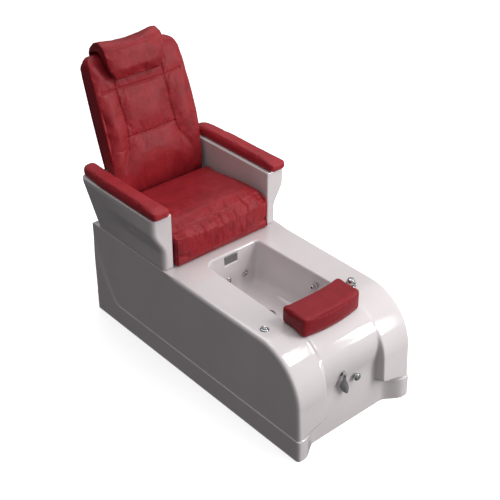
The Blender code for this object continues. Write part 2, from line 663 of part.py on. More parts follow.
def make_footrest(finishes, front):
    board_low, board_top, pad_top = 0.4985, 0.5065, 0.572
    board = prism(footrest_outline(0.006), "Z", board_low, board_top)
    piece("footrest_board", board, finishes["black_plastic"], front)
    pad = prism(footrest_outline(0.0), "Z", board_top + GAP, pad_top)
    piece("footrest_pad", pad, finishes["red_leather"], front, bevel=0.012, segments=2)
    for side, name in ((1, "left"), (-1, "right")):
        centre = (FOOTREST_X + side * FOOTREST_POST_SPREAD, FOOTREST_POST_Y, 0)
        post = rod(0.008, 0.352, board_low - GAP, "Z", (0, 0, 0), 16, 0.0015)
        piece(f"footrest_post_{name}", post, finishes["chrome"], front, centre)


# ---------------------------------------------------------------- sliding chair
def arm_outline(z):
    """Plan outline of the left arm shell at height z: upright inside, flared outside."""
    flare = smooth_step((z - 0.575) / (0.700 - 0.575))
    outer = 0.3285 + (0.380 - 0.3285) * flare
    rear = 1.355 + (1.432 - 1.355) * (z - ARM_BOTTOM_Z) / (ARM_TOP_Z - ARM_BOTTOM_Z)
    inner = ARM_INNER_X
    small, front_r, rear_r = 0.006, 0.026, 0.038
    points = (arc((outer - front_r, ARM_FRONT_Y + front_r), front_r, -90, 0, 5)
              + arc((outer - rear_r, rear - rear_r), rear_r, 0, 90, 5)
              + arc((inner + small, rear - small), small, 90, 180, 2)
              + arc((inner + small, ARM_FRONT_Y + small), small, 180, 270, 2))
    return [(x, y, z) for x, y in points]


def arm_pad_outline():
    return ([(0.296, 0.866), (0.356, 0.866)] + arc((0.358, 0.886), 0.020, -60, 0, 3)
            + [(0.378, 1.10), (0.378, 1.26), (0.371, 1.36)]
            + arc((0.322, 1.402), 0.044, 10, 90, 4) + [(0.300, 1.445), (0.289, 1.425), (0.288, 0.880)])


def make_arms(finishes, carriage):
    levels = [ARM_BOTTOM_Z, 0.575, 0.605, 0.637, 0.670, 0.700, ARM_TOP_Z - 0.006, ARM_TOP_Z]
    for side, name in ((1, "left"), (-1, "right")):
        work = bmesh.new()
        rings = []
        for z in levels:
            outline = arm_outline(z)
            if z == ARM_TOP_Z:
                middle = (ARM_INNER_X + 0.380) / 2
                outline = [(x - math.copysign(0.005, x - middle), y - math.copysign(0.005, y - 1.1), h)
                           for x, y, h in outline]
            rings.append([work.verts.new((side * x, y, h)) for x, y, h in outline])
        add_strips(work, rings)
        work.faces.new(rings[-1])
        bmesh.ops.recalc_face_normals(work, faces=work.faces)
        top = max(work.faces, key=lambda f: f.calc_center_median().z)
        if top.normal.z < 0:
            bmesh.ops.reverse_faces(work, faces=work.faces)
        shell = thickened(f"arm_shell_{name}", work, ARM_WALL)
        piece(f"arm_shell_{name}", shell, finishes["gelcoat"], carriage)
        outline = [(side * x, y) for x, y in arm_pad_outline()]
        pad = prism(outline, "Z", ARM_TOP_Z + GAP, ARM_PAD_TOP_Z)
        piece(f"arm_pad_{name}", pad, finishes["red_leather"], carriage, bevel=0.010)


def make_slide(finishes, front, carriage):
    rail_low = DECK_Z + GAP
    for side, name in ((1, "left"), (-1, "right")):
        x = side * 0.205
        profile = [(-0.020, 0), (0.020, 0), (0.020, 0.004), (0.008, 0.004), (0.008, 0.013),
                   (-0.008, 0.013), (-0.008, 0.004), (-0.020, 0.004)]
        rail = prism([(x + a, rail_low + b) for a, b in profile], "Y", 0.930, 1.400)
        piece(f"slide_rail_{name}", rail, finishes["steel"], front)
        # The runner is a channel turned over the rail's head.
        profile = [(-0.019, 0.006), (-0.0100, 0.006), (-0.0100, 0.0145), (0.0100, 0.0145),
                   (0.0100, 0.006), (0.019, 0.006), (0.019, PAN_LOW_Z - GAP - rail_low),
                   (-0.019, PAN_LOW_Z - GAP - rail_low)]
        runner = prism([(x + a, rail_low + b) for a, b in profile], "Y", 0.942, 1.295)
        piece(f"slide_runner_{name}", runner, finishes["steel"], carriage)


def make_seat(finishes, carriage):
    pan = prism(rounded_rectangle(-0.2525, 0.938, 0.2525, 1.300, 0.012, 2), "Z", PAN_LOW_Z, PAN_TOP_Z)
    piece("seat_pan", pan, finishes["black_plastic"], carriage)
    underside = PAN_TOP_Z + 0.002
    profile = [(SEAT_FRONT_Y - 0.004, ARM_BOTTOM_Z), (SEAT_FRONT_Y, 0.600)]
    profile += arc((0.925, 0.618), 0.060, 180, 90, 4)
    profile += [(1.00, 0.676), (1.13, 0.660), (SEAT_REAR_Y - 0.010, 0.642), (SEAT_REAR_Y, 0.630),
                (SEAT_REAR_Y, underside), (0.920, underside), (0.920, ARM_BOTTOM_Z)]
    cushion = prism(profile, "X", -SEAT_HALF_WIDTH, SEAT_HALF_WIDTH)
    piece("seat_cushion", cushion, finishes["red_leather"], carriage, bevel=0.010)


def make_recline_hinges(finishes, carriage):
    outline = [(1.200, PAN_LOW_Z), (HINGE_Y + 0.018, PAN_LOW_Z)]
    outline += arc((HINGE_Y, HINGE_Z), 0.020, -25, 200, 8)
    outline += [(1.325, 0.5655), (1.200, 0.5655)]
    for side, name in ((1, "left"), (-1, "right")):
        low, high = sorted((side * 0.2530, side * 0.2580))
        plate = prism(outline, "X", low, high)
        pin_low, pin_high = sorted((side * 0.2463, side * 0.2560))
        pin = rod(0.0060, pin_low, pin_high, "X", (0, HINGE_Y, HINGE_Z), 24)
        cap_low, cap_high = sorted((side * 0.2570, side * 0.2610))
        cap = rod(0.0100, cap_low, cap_high, "X", (0, HINGE_Y, HINGE_Z), 24)
        bracket = combined(f"hinge_bracket_{name}", plate, [pin, cap])
        piece(f"hinge_bracket_{name}", bracket, finishes["steel"], carriage)


def make_recline_drive(finishes, carriage):
    rod_z = HINGE_Z - LEVER_RADIUS
    pin_y = HINGE_Y + LEVER_RADIUS * math.tan(LEVER_ANGLE)
    housing = turned([(0.0074, 1.262), (0.013, 1.262), (0.0165, 1.256), (0.0165, 1.060), (0, 1.060),
                      (0, 1.090), (0.0074, 1.090)], "Y", 20, (0, 0, rod_z))
    gearbox = box((-0.032, 1.010, rod_z - 0.018), (0.032, 1.064, rod_z + 0.0185))
    motor = rod(0.016, 1.012, 1.130, "Y", (-0.042, 0, rod_z), 16, 0.002)
    lug = box((-0.012, 1.015, rod_z + 0.010), (0.012, 1.050, PAN_LOW_Z - GAP))
    drive = combined("recline_actuator", housing, [gearbox, motor, lug])
    piece("recline_actuator", drive, finishes["black_plastic"], carriage)

    shaft = rod(0.0070, 1.135 - pin_y, 1.338 - pin_y, "Y", (0, 0, 0), 16)
    block = box((-0.0090, 1.334 - pin_y, -0.0080), (0.0090, 1.350 - pin_y, 0.0080))
    cheeks = []
    for side in (1, -1):
        low, high = sorted((side * 0.0050, side * 0.0090))
        cheeks.append(box((low, 1.349 - pin_y, -0.0080), (high, 0.010, 0.0080)))
    pin = rod(0.0048, -0.0080, 0.0080, "X", (0, 0, 0), 12)
    fork = combined("recline_rod", shaft, [block] + cheeks + [pin])
    piece("recline_rod", fork, finishes["chrome"], carriage, (0, pin_y, rod_z))


# ---------------------------------------------------------------- backrest, from its hinge axis
def make_back(finishes, back):
    """Pieces of the tilting back. Z runs up along the back, and -Y out of its front face."""
    board = [(0.0100, 0.002), (0.0190, 0.002), (0.0190, 0.650), (0.0170, 0.666), (0.0130, 0.674),
             (0.0100, 0.675)]
    board = prism(board, "X", -BACK_HALF_WIDTH, BACK_HALF_WIDTH)
    piece("back_panel", board, finishes["red_leather"], back)

    face = [(0.0095, 0.006), (-0.035, 0.006), (-0.056, 0.024), (-0.070, 0.085), (-0.084, 0.200),
            (-0.088, 0.320), (-0.086, 0.450), (-0.080, 0.570), (-0.073, 0.635), (-0.056, 0.668),
            (-0.025, 0.686), (0.0095, 0.684)]
    cushion = prism(face, "X", -BACK_HALF_WIDTH, BACK_HALF_WIDTH)
    # The top corners are rounded in the back's own plane.
    corners = []
    for side in (1, -1):
        edge = side * BACK_HALF_WIDTH
        centre = (edge - side * 0.060, 0.630)
        turn = arc(centre, 0.060, 0 if side > 0 else 180, 90, 5)
        outline = turn + [(centre[0], 0.75), (edge + side * 0.05, 0.75), (edge + side * 0.05, 0.630)]
        corners.append(prism(outline, "Y", -0.15, 0.05))
    rounded = combined("back_cushion", cushion, corners, "DIFFERENCE")
    piece("back_cushion", rounded, finishes["red_leather"], back, bevel=0.012)

    to_vertical = Matrix.Rotation(BACK_TILT, 4, "X")
    lever_turn = to_vertical @ Matrix.Rotation(LEVER_ANGLE, 4, "X")
    bar = box((-0.2510, -0.012, -0.034), (0.2510, 0.014, -0.006))
    blade = [(-0.015, -0.020), (0.015, -0.020), (0.013, -0.082), (-0.013, -0.082)]
    lever = prism(blade, "X", -0.004, 0.004)
    slot = (arc((0, -LEVER_RADIUS - 0.003), 0.0062, 180, 360, 5)
            + arc((0, -LEVER_RADIUS + 0.005), 0.0062, 0, 180, 5))
    cutter = moved(prism(slot, "X", -0.02, 0.02), lever_turn)
    lever = combined("lever", moved(lever, lever_turn), [cutter], "DIFFERENCE")
    arms = []
    for side in (1, -1):
        low, high = sorted((side * 0.2472, side * 0.2523))
        outline = arc((0, 0), 0.019, 180, 360, 6) + [(0.019, 0.170), (-0.019, 0.170)]
        outline = [(a, b - 0.015 if b < 0 else b) for a, b in outline]
        arms.append(prism(outline, "X", low, high))
    frame = combined("back_frame", lever, [bar] + arms)
    bores = [rod(0.00612, -0.27, 0.27, "X", (0, 0, 0), 24)]
    frame = combined("back_frame", frame, bores, "DIFFERENCE")
    piece("back_frame", frame, finishes["steel"], back)


def make_pillow(finishes, back):
    """The head pillow hooks over the top of the back; its front flap narrows towards the foot."""
    outer = [(-0.092, 0.572), (-0.112, 0.574), (-0.122, 0.600), (-0.123, 0.672), (-0.108, 0.720),
             (-0.074, 0.745), (-0.028, 0.741), (0.014, 0.720), (0.030, 0.696), (0.030, 0.450)]
    inner = [(0.0205, 0.450), (0.0205, 0.686), (0.008, 0.698), (-0.045, 0.698), (-0.074, 0.676),
             (-0.091, 0.640)]
    hook = prism(outer + inner, "X", -0.178, 0.142)
    wedges = []
    for side in (1, -1):
        flap = [(side * 0.115, 0.54), (side * 0.125, 0.575), (side * 0.152, 0.610), (side * 0.1605, 0.650),
                (side * 0.25, 0.650), (side * 0.25, 0.54)]
        wedges.append(prism([(x - 0.018, z) for x, z in flap], "Y", -0.20, -0.089))
    hook = combined("head_pillow", hook, wedges, "DIFFERENCE")
    piece("head_pillow", hook, finishes["red_leather"], back, bevel=0.007)


# ---------------------------------------------------------------- the whole chair
def main():
    clear_scene()
    finishes = make_finishes()
    front = datum("front_datum", (0, FRONT_Y, 0))
    carriage = datum("seat_carriage_datum", (0, 0, 0), front)
    back = datum("recline_axis", (0, HINGE_Y, HINGE_Z), carriage, (-BACK_TILT, 0, 0))
    bpy.context.view_layer.update()
    make_base_shell(finishes, front)
    make_basin(finishes, front)
    make_rear_panel(finishes, front)
    make_frame(finishes, front)
    make_pump(finishes, front)
    make_jets_and_drain(finishes, front)
    make_deck_controls(finishes, front)
    make_front_controls(finishes, front)
    make_footrest(finishes, front)
    make_slide(finishes, front, carriage)
    make_seat(finishes, carriage)
    make_arms(finishes, carriage)
    make_recline_hinges(finishes, carriage)
    make_recline_drive(finishes, carriage)
    make_back(finishes, back)
    make_pillow(finishes, back)


main()
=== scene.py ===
"""Pedicure spa chair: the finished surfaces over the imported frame, with its studio."""

import math

import bmesh
import bpy
import numpy as np
from mathutils import Matrix, Vector, noise
from mathutils.bvhtree import BVHTree


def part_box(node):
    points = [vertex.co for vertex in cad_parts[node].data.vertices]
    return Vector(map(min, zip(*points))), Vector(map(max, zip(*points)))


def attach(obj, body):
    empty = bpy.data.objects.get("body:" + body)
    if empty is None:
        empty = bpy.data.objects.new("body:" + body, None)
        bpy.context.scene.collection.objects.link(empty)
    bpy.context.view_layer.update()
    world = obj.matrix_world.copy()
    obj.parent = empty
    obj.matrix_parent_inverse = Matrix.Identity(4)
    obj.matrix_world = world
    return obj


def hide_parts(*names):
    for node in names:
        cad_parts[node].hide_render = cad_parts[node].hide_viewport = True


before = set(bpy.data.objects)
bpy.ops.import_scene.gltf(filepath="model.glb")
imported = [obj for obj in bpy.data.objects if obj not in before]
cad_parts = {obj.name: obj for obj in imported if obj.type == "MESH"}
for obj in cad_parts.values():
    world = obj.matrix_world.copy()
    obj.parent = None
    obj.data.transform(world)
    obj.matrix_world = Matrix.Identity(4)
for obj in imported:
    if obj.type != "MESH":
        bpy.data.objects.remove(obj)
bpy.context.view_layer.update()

# ---- driving dimensions, in metres
FRONT_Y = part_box("base_shell")[0][1]  # all y values below are measured back from here

BASE_HALF_WIDTH = 0.335
BASE_LENGTH = 1.46
DECK_Z = 0.495
SHELL_BOTTOM_Z = 0.002
SHELL_WALL = 0.006
EDGE_RADIUS = 0.016
REAR_CORNER_RADIUS = 0.024
SKIRT_Z = 0.105
SKIRT_STEP = 0.0045
BULGE_Z = 0.25
BULGE_DEPTH = 0.24
BULGE_LEAN = 0.01
RECESS_DEPTH = 0.048
RECESS_TOP_Z = 0.455

BASIN_FRONT_Y = 0.235
BASIN_REAR_Y = 0.815
BASIN_HALF_FRONT = 0.168
BASIN_HALF_REAR = 0.152
BASIN_LIP = 0.01
BASIN_TOP_Z = 0.473
BASIN_FLOOR_Z = 0.287
BASIN_FILLET = 0.045
BASIN_DRAFT = math.tan(math.radians(4))
DRAIN_Y = 0.56
DRAIN_HOLE = 0.021
JET_Z = 0.352
POCKET_X = -0.003
POCKET_Z = 0.455

ARM_FRONT_Y = 0.881
ARM_INNER_X = 0.275
ARM_BOTTOM_Z = 0.4968
ARM_TOP_Z = 0.768

HINGE_Y = 1.36
HINGE_Z = 0.6
BACK_TILT = math.radians(17.5)
BACK_HEIGHT = 0.64
PILLOW_X = -0.018
SEAT_SEAM_Y = 0.905
PIPING_RADIUS = 0.0026

FRONT = Matrix.Translation((0, FRONT_Y, 0))
BACK = Matrix.Translation((0, FRONT_Y + HINGE_Y, HINGE_Z)) @ Matrix.Rotation(-BACK_TILT, 4, "X")
WORLD = Matrix.Identity(4)
SIDES = ((1, "left"), (-1, "right"))


def quarter_turn(steps):
    """Angles that go on from 0 to a right angle."""
    return np.radians(np.linspace(0, 90, steps + 1)[1:])


def smooth_step(value):
    value = np.clip(value, 0.0, 1.0)
    return value * value * (3 - 2 * value)


def adjust(thing, **values):
    for key, value in values.items():
        setattr(thing, key, value)


# ---- materials
def node(tree, kind, inputs=None, **settings):
    """A shader node; an input is either a value or another node's output socket."""
    made = tree.nodes.new(kind)
    adjust(made, **settings)
    for key, value in (inputs or {}).items():
        if isinstance(value, bpy.types.NodeSocket):
            tree.links.new(value, made.inputs[key])
        else:
            made.inputs[key].default_value = value
    return made


def ramp(tree, factor, stops):
    made = node(tree, "ShaderNodeValToRGB", {"Fac": factor})
    elements = made.color_ramp.elements
    while len(elements) < len(stops):
        elements.new(0.5)
    for element, (place, colour) in zip(elements, stops):
        element.position = place
        element.color = (*colour, 1.0)
    return made.outputs["Color"]


def spread(tree, value, low, high, start=0.0, end=1.0):
    return node(tree, "ShaderNodeMapRange", {
        "Value": value, "From Min": start, "From Max": end, "To Min": low,
        "To Max": high}).outputs["Result"]


def noise_of(tree, coords, scale, detail=4.0, roughness=0.55, distortion=0.0):
    return node(tree, "ShaderNodeTexNoise", {
        "Vector": coords, "Scale": scale, "Detail": detail, "Roughness": roughness,
        "Distortion": distortion}).outputs["Fac"]


def mix_of(tree, factor, low, high, kind="RGBA"):
    made = node(tree, "ShaderNodeMix", {"Factor": factor, "A": low, "B": high}, data_type=kind)
    return made.outputs["Result"]


def edges(tree, amount, start, end):
    """How strongly a place counts as an outer edge, up to amount."""
    made = node(tree, "ShaderNodeNewGeometry")
    return spread(tree, made.outputs["Pointiness"], 0.0, amount, start, end)


def bump(tree, height, distance, strength=1.0, below=None):
    inputs = {"Height": height, "Distance": distance, "Strength": strength}
    if below is not None:
        inputs["Normal"] = below
    return node(tree, "ShaderNodeBump", inputs).outputs["Normal"]


def new_material(name, **constants):
    material = bpy.data.materials.new(name)
    material.use_nodes = True
    tree = material.node_tree
    for key, value in constants.items():
        tree.nodes["Principled BSDF"].inputs[key.replace("_", " ")].default_value = value
    return tree, node(tree, "ShaderNodeTexCoord").outputs["Object"], material


def finished(material, colour, roughness=None, normal=None):
    """The material, with the outputs that were made linked to its shader."""
    tree = material.node_tree
    for name, socket in (("Base Color", colour), ("Roughness", roughness), ("Normal", normal)):
        if socket is not None:
            tree.links.new(socket, tree.nodes["Principled BSDF"].inputs[name])
    return material


def make_gelcoat():
    """Sprayed gloss gelcoat: faint orange peel, slow clouding, hairline scuffs on the edges."""
    tree, coords, material = new_material(
        "gelcoat_gloss", Coat_Weight=0.7, Coat_Roughness=0.02, Specular_IOR_Level=0.5)
    cloud = noise_of(tree, coords, 3.5, 5.0, 0.6)
    tone = ramp(tree, cloud, [(0.3, (0.65, 0.598, 0.606)), (0.7, (0.695, 0.645, 0.652))])
    edge = edges(tree, 0.3, 0.52, 0.6)
    grime = spread(tree, noise_of(tree, coords, 55.0, 6.0, 0.7), 0.0, 0.35, 0.56, 0.8)
    worn = node(tree, "ShaderNodeMath", {0: edge, 1: grime}, operation="MULTIPLY").outputs[0]
    smear = noise_of(tree, coords, 6.0, 3.0, 0.5)
    peel = bump(tree, noise_of(tree, coords, 170.0, 2.0, 0.5), 0.00012, 0.35)
    return finished(
        material, mix_of(tree, worn, tone, (0.5, 0.47, 0.45, 1.0)),
        spread(tree, smear, 0.075, 0.135, 0.35, 0.7),
        bump(tree, noise_of(tree, coords, 14.0, 2.0, 0.4), 0.0007, 0.25, peel))


def make_leather(name, dark, middle, light, roughness, grain_scale, crinkle):
    """Dyed upholstery leather: pebble grain, creases at several sizes, mottled dye and gloss."""
    tree, coords, material = new_material(
        name, Specular_IOR_Level=0.25, Sheen_Weight=0.01, Sheen_Roughness=0.45, Coat_Weight=0.03,
        Coat_Roughness=0.25)
    wide = noise_of(tree, coords, 11.0, 6.0, 0.62, 0.6)
    fine = noise_of(tree, coords, 95.0, 5.0, 0.7)
    dye = mix_of(tree, 0.38, wide, fine, "FLOAT")
    tone = ramp(tree, dye, [(0.34, dark), (0.5, middle), (0.68, light)])
    rubbed = edges(tree, 0.45, 0.515, 0.6)
    cells = node(
        tree, "ShaderNodeTexVoronoi",
        {"Vector": coords, "Scale": grain_scale, "Randomness": 0.9}, feature="DISTANCE_TO_EDGE")
    pebbles = spread(tree, cells.outputs["Distance"], 0.0, 1.0, 0.0, 0.32)
    grain = bump(tree, pebbles, 0.00022, 0.55)
    creases = noise_of(tree, coords, 42.0, 7.0, 0.68, 1.1)
    folded = bump(tree, creases, 0.003, crinkle, grain)
    waves = noise_of(tree, coords, 13.0, 3.0, 0.5, 0.5)
    return finished(
        material, mix_of(tree, rubbed, tone, (*light, 1.0)),
        spread(tree, fine, roughness - 0.1, roughness + 0.14, 0.32, 0.68),
        bump(tree, waves, 0.008, crinkle * 0.6, folded))


def make_metal(name, colour, low, high, streak, speck):
    tree, coords, material = new_material(name, Metallic=1.0)
    stretched = node(tree, "ShaderNodeMapping", {"Vector": coords, "Scale": streak})
    wear = noise_of(tree, stretched.outputs["Vector"], 30.0, 5.0, 0.6)
    dull = tuple(0.82 * c for c in colour)
    return finished(
        material, ramp(tree, wear, [(0.3, dull), (0.62, colour)]),
        spread(tree, wear, low, high, 0.35, 0.72),
        bump(tree, noise_of(tree, coords, speck, 3.0), 0.0002, 0.15))


def make_polymer(name, colour, lighter, low, high, scale, depth, **constants):
    tree, coords, material = new_material(name, **constants)
    mottle = noise_of(tree, coords, 24.0, 6.0, 0.65)
    return finished(
        material, ramp(tree, mottle, [(0.35, colour), (0.7, lighter)]),
        spread(tree, mottle, low, high, 0.3, 0.7),
        bump(tree, noise_of(tree, coords, scale, 2.0), depth, 0.6))


FINISHES = {
    "gelcoat": make_gelcoat(),
    "red_leather": make_leather(
        "red_leather_hide", (0.198, 0.0088, 0.0132), (0.27, 0.013, 0.019),
        (0.34, 0.0225, 0.029), 0.38, 430.0, 0.28),
    # The arm pads' vinyl is the footrest's red vinyl painted lighter: painted light on the arm
    # pads.
    "arm_vinyl": make_leather(
        "red_vinyl_arms_painted_light", (0.29, 0.017, 0.025), (0.34, 0.022, 0.031),
        (0.39, 0.029, 0.039), 0.38, 620.0, 0.07),
    # The footrest's vinyl is the arm pads' red vinyl painted darker: painted shade on the footrest.
    "foot_vinyl": make_leather(
        "red_vinyl_footrest", (0.205, 0.007, 0.0125), (0.24, 0.009, 0.016),
        (0.275, 0.013, 0.021), 0.42, 620.0, 0.06),
    "piping": make_leather(
        "red_piping", (0.22, 0.01, 0.015), (0.29, 0.015, 0.022), (0.37, 0.03, 0.038),
        0.34, 900.0, 0.05),
    "thread": make_polymer(
        "red_thread", (0.2, 0.016, 0.02), (0.34, 0.035, 0.045), 0.55, 0.75, 900.0, 0.0002,
        Sheen_Weight=0.3),
    "chrome": make_metal(
        "polished_chrome", (0.6, 0.6, 0.62), 0.04, 0.12, (1, 1, 1), 300.0),
    "steel": make_metal(
        "galvanised_steel", (0.42, 0.43, 0.45), 0.3, 0.5, (1, 0.15, 1), 500.0),
    "black_plastic": make_polymer(
        "black_moulded_plastic", (0.018, 0.018, 0.02), (0.035, 0.034, 0.034), 0.38, 0.6, 700.0,
        0.0002, Specular_IOR_Level=0.4),
    "hose": make_polymer(
        "grey_pvc_hose", (0.34, 0.34, 0.36), (0.46, 0.46, 0.47), 0.32, 0.52, 260.0, 0.0004,
        Specular_IOR_Level=0.5),
    # A dark grey plate for the rear wall's pocket; its dark tone is partly painted shade of the
    # pocket.
    "cover": make_polymer(
        "grey_plate_painted_shade", (0.15, 0.14, 0.13), (0.19, 0.18, 0.165), 0.3, 0.45, 500.0,
        0.0002),
    "rubber": make_polymer(
        "black_rubber", (0.014, 0.014, 0.014), (0.03, 0.029, 0.028), 0.7, 0.88, 800.0, 0.0003,
        Specular_IOR_Level=0.3),
}


# ---- pieces
def linked(name, data):
    obj = bpy.data.objects.new(name, data)
    bpy.context.scene.collection.objects.link(obj)
    return obj


def evaluated(data, *modifiers):
    """The mesh that a mesh or a curve becomes under modifiers, each a kind with its settings."""
    obj = linked("working", data)
    for kind, settings in modifiers:
        adjust(obj.modifiers.new(kind, kind), **settings)
    graph = bpy.context.evaluated_depsgraph_get()
    mesh = bpy.data.meshes.new_from_object(obj.evaluated_get(graph))
    bpy.data.objects.remove(obj, do_unlink=True)
    return mesh


def opened(*meshes):
    """One bmesh holding all the meshes."""
    work = bmesh.new()
    for mesh in meshes:
        work.from_mesh(mesh)
    return work


def baked(name, work):
    """A new mesh from a bmesh, which is freed."""
    mesh = bpy.data.meshes.new(name)
    work.to_mesh(mesh)
    work.free()
    return mesh


def place(name, mesh, finish, body, replaces=(), slot=None, angle=35):
    """One finished piece, riding on a body and standing for the CAD nodes it replaces."""
    mesh.materials.clear()
    mesh.materials.append(FINISHES[finish])
    mesh.shade_smooth()
    if angle:
        mesh.set_sharp_from_angle(angle=math.radians(angle))
    obj = linked(name, mesh)
    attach(obj, body)
    if replaces:
        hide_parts(*replaces)
    return obj


def mesh_from(name, points, faces):
    """A mesh with its faces turned outwards."""
    raw = bpy.data.meshes.new("raw")
    raw.from_pydata([tuple(p) for p in points], [], faces)
    work = opened(raw)
    bmesh.ops.recalc_face_normals(work, faces=work.faces)
    return baked(name, work)


def strips(count, rings):
    """Quads between neighbouring rings of count points each."""
    around = [(i, (i + 1) % count) for i in range(count)]
    return [(a + i, a + j, a + count + j, a + count + i)
            for a in range(0, (rings - 1) * count, count) for i, j in around]


def softened(profile, radius, steps=4):
    """The (radius, height) profile with each inner corner rounded."""
    found = [profile[0]]
    for before, corner, after in zip(profile, profile[1:], profile[2:]):
        corner = np.array(corner)
        ends = [np.array(before) - corner, np.array(after) - corner]
        reach = min(radius, *(0.45 * np.linalg.norm(end) for end in ends))
        start, end = [corner + end / np.linalg.norm(end) * reach for end in ends]
        for share in np.linspace(0, 1, steps + 1):
            found.append((1 - share) ** 2 * start + 2 * share * (1 - share) * corner
                         + share ** 2 * end)
    return found + [profile[-1]]


def turned(name, profile, axis, centre, rounding=0.0008, sides=64):
    """A softened profile of (radius, height) points turned round an axis through centre."""
    profile = softened(profile, rounding)
    points = []
    for radius, height in profile:
        for turn in np.arange(sides) * 2 * math.pi / sides:
            a, b = max(radius, 1e-5) * math.cos(turn), max(radius, 1e-5) * math.sin(turn)
            local = {"Z": (a, b, height), "Y": (b, height, a), "X": (height, a, b)}[axis]
            points.append([p + c for p, c in zip(local, centre)])
    return mesh_from(name, points, strips(sides, len(profile)))


# ---- base shell and foot basin
TURNS = np.linspace(0, math.pi / 2, 400)


def front_surface(z, inset=0.0):
    """How far back the side columns' front lies at height z, moved in by inset."""
    if z <= BULGE_Z:
        return BULGE_LEAN * (z / BULGE_Z) ** 2 + inset
    rise = DECK_Z - BULGE_Z
    out_y, out_z = np.cos(TURNS) / BULGE_DEPTH, np.sin(TURNS) / rise
    length = np.hypot(out_y, out_z)
    heights = BULGE_Z + rise * np.sin(TURNS) - inset * out_z / length
    depths = BULGE_LEAN + BULGE_DEPTH * (1 - np.cos(TURNS)) + inset * out_y / length
    return float(np.interp(z, heights, depths))


def deck_height(y):
    """Height of the front curve, and of the flat deck behind it."""
    ahead = np.clip((BULGE_LEAN + BULGE_DEPTH - y) / BULGE_DEPTH, 0.0, 1.0)
    return BULGE_Z + (DECK_Z - BULGE_Z) * np.sqrt(1 - ahead ** 2)


def recess_mask(x, z):
    """1 in the front's sunken middle panel, 0 on the columns beside it."""
    spread_out = smooth_step((z - SKIRT_Z) / 0.05)
    inner = 0.2 + (0.155 - 0.2) * spread_out
    outer = 0.3 + (0.172 - 0.3) * spread_out
    return 1 - smooth_step((abs(x) - inner) / (outer - inner))


def recess(x, z):
    fade = 1 - smooth_step((z - 0.2) / (RECESS_TOP_Z - 0.2))
    return RECESS_DEPTH * recess_mask(x, z) * fade


def side_step(y, z):
    """Inset above the skirt line, which climbs and fades out towards the rear."""
    line = np.interp(y, [1.262, 1.29, 1.306, 1.376, 1.43], [SKIRT_Z, 0.119, 0.138, 0.255, 0.36])
    soft = np.interp(y, [1.262, 1.3, 1.376, 1.43], [0.0015, 0.01, 0.075, 0.16])
    return SKIRT_STEP * smooth_step((z - line) / soft + 0.5)


def edge_radius(y):
    """The deck's edge is round beside the basin and nearly square under the armrests."""
    return EDGE_RADIUS + (0.003 - EDGE_RADIUS) * smooth_step((y - 0.8) / 0.06)


def shell_half_ring(z, front_z):
    """The left half (x above 0) of the outer skin at height z, from the front to the rear."""
    step = SKIRT_STEP * smooth_step((z - SKIRT_Z) / 0.0015 + 0.5)
    half = BASE_HALF_WIDTH - step
    xs = np.concatenate([np.linspace(0, 0.135, 9), np.linspace(0.145, 0.2, 15),
                         np.linspace(0.211, half - EDGE_RADIUS, 11)])
    y = front_surface(front_z)
    found = [(x, y + step * (1 - recess_mask(x, z)) + recess(x, z), front_z) for x in xs]
    last_turn = math.acos(1 - min(EDGE_RADIUS, DECK_Z - z) / EDGE_RADIUS)
    for share in np.linspace(0, 1, 9)[1:]:
        turn = share * last_turn
        height = front_z + (z - front_z) * share
        y = front_surface(height, EDGE_RADIUS * (1 - math.cos(turn))) + step
        found.append((half - EDGE_RADIUS * (1 - math.sin(turn)), y, height))
    end_y = BASE_LENGTH - REAR_CORNER_RADIUS
    along = np.concatenate([np.linspace(found[-1][1], 0.86, 44)[1:],
                            np.linspace(0.86, end_y, 66)[1:]])
    for y in along:
        radius = edge_radius(y)
        turn = math.acos(1 - min(radius, DECK_Z - z) / radius)
        x = BASE_HALF_WIDTH - side_step(y, z) - radius * (1 - math.sin(turn))
        found.append((x, y, z))
    side_x = found[-1][0]
    rear_y = BASE_LENGTH - step - (BASE_HALF_WIDTH - side_step(end_y, z) - side_x)
    for turn in quarter_turn(9):
        found.append((side_x - REAR_CORNER_RADIUS * (1 - math.cos(turn)),
                      end_y + (rear_y - end_y) * math.sin(turn), z))
    return found + [(x, rear_y, z) for x in np.linspace(found[-1][0], 0, 18)[1:]]


def basin_distance(x, y, extra):
    """Plan distance outside the basin's top edge, with corner radii enlarged by extra."""
    middle, reach = (BASIN_REAR_Y + BASIN_FRONT_Y) / 2, (BASIN_REAR_Y - BASIN_FRONT_Y) / 2
    share = (y - BASIN_FRONT_Y) / (BASIN_REAR_Y - BASIN_FRONT_Y)
    half = BASIN_HALF_FRONT + (BASIN_HALF_REAR - BASIN_HALF_FRONT) * share
    radius = np.where(y < middle, 0.05, np.where(x < 0, 0.052, 0.018)) + extra
    across = np.abs(x) - (half - radius)
    along = np.abs(y - middle) - (reach - radius)
    outside = np.hypot(np.maximum(across, 0), np.maximum(along, 0))
    return outside + np.minimum(np.maximum(across, along), 0) - radius


def towards_basin(outer, offset):
    """Where lines from the deck's edge inwards cross the basin's outline, moved out by offset."""
    spine = np.column_stack([np.zeros(len(outer)), np.clip(outer[:, 1], 0.36, 0.7)])
    low, high = np.zeros(len(outer)), np.ones(len(outer))
    extra = 1.25 * max(0.0, -offset)
    for _ in range(40):
        middle = (low + high) / 2
        at = outer + (spine - outer) * middle[:, None]
        inside = basin_distance(at[:, 0], at[:, 1], extra) < offset
        high = np.where(inside, middle, high)
        low = np.where(inside, low, middle)
    return outer + (spine - outer) * high[:, None]


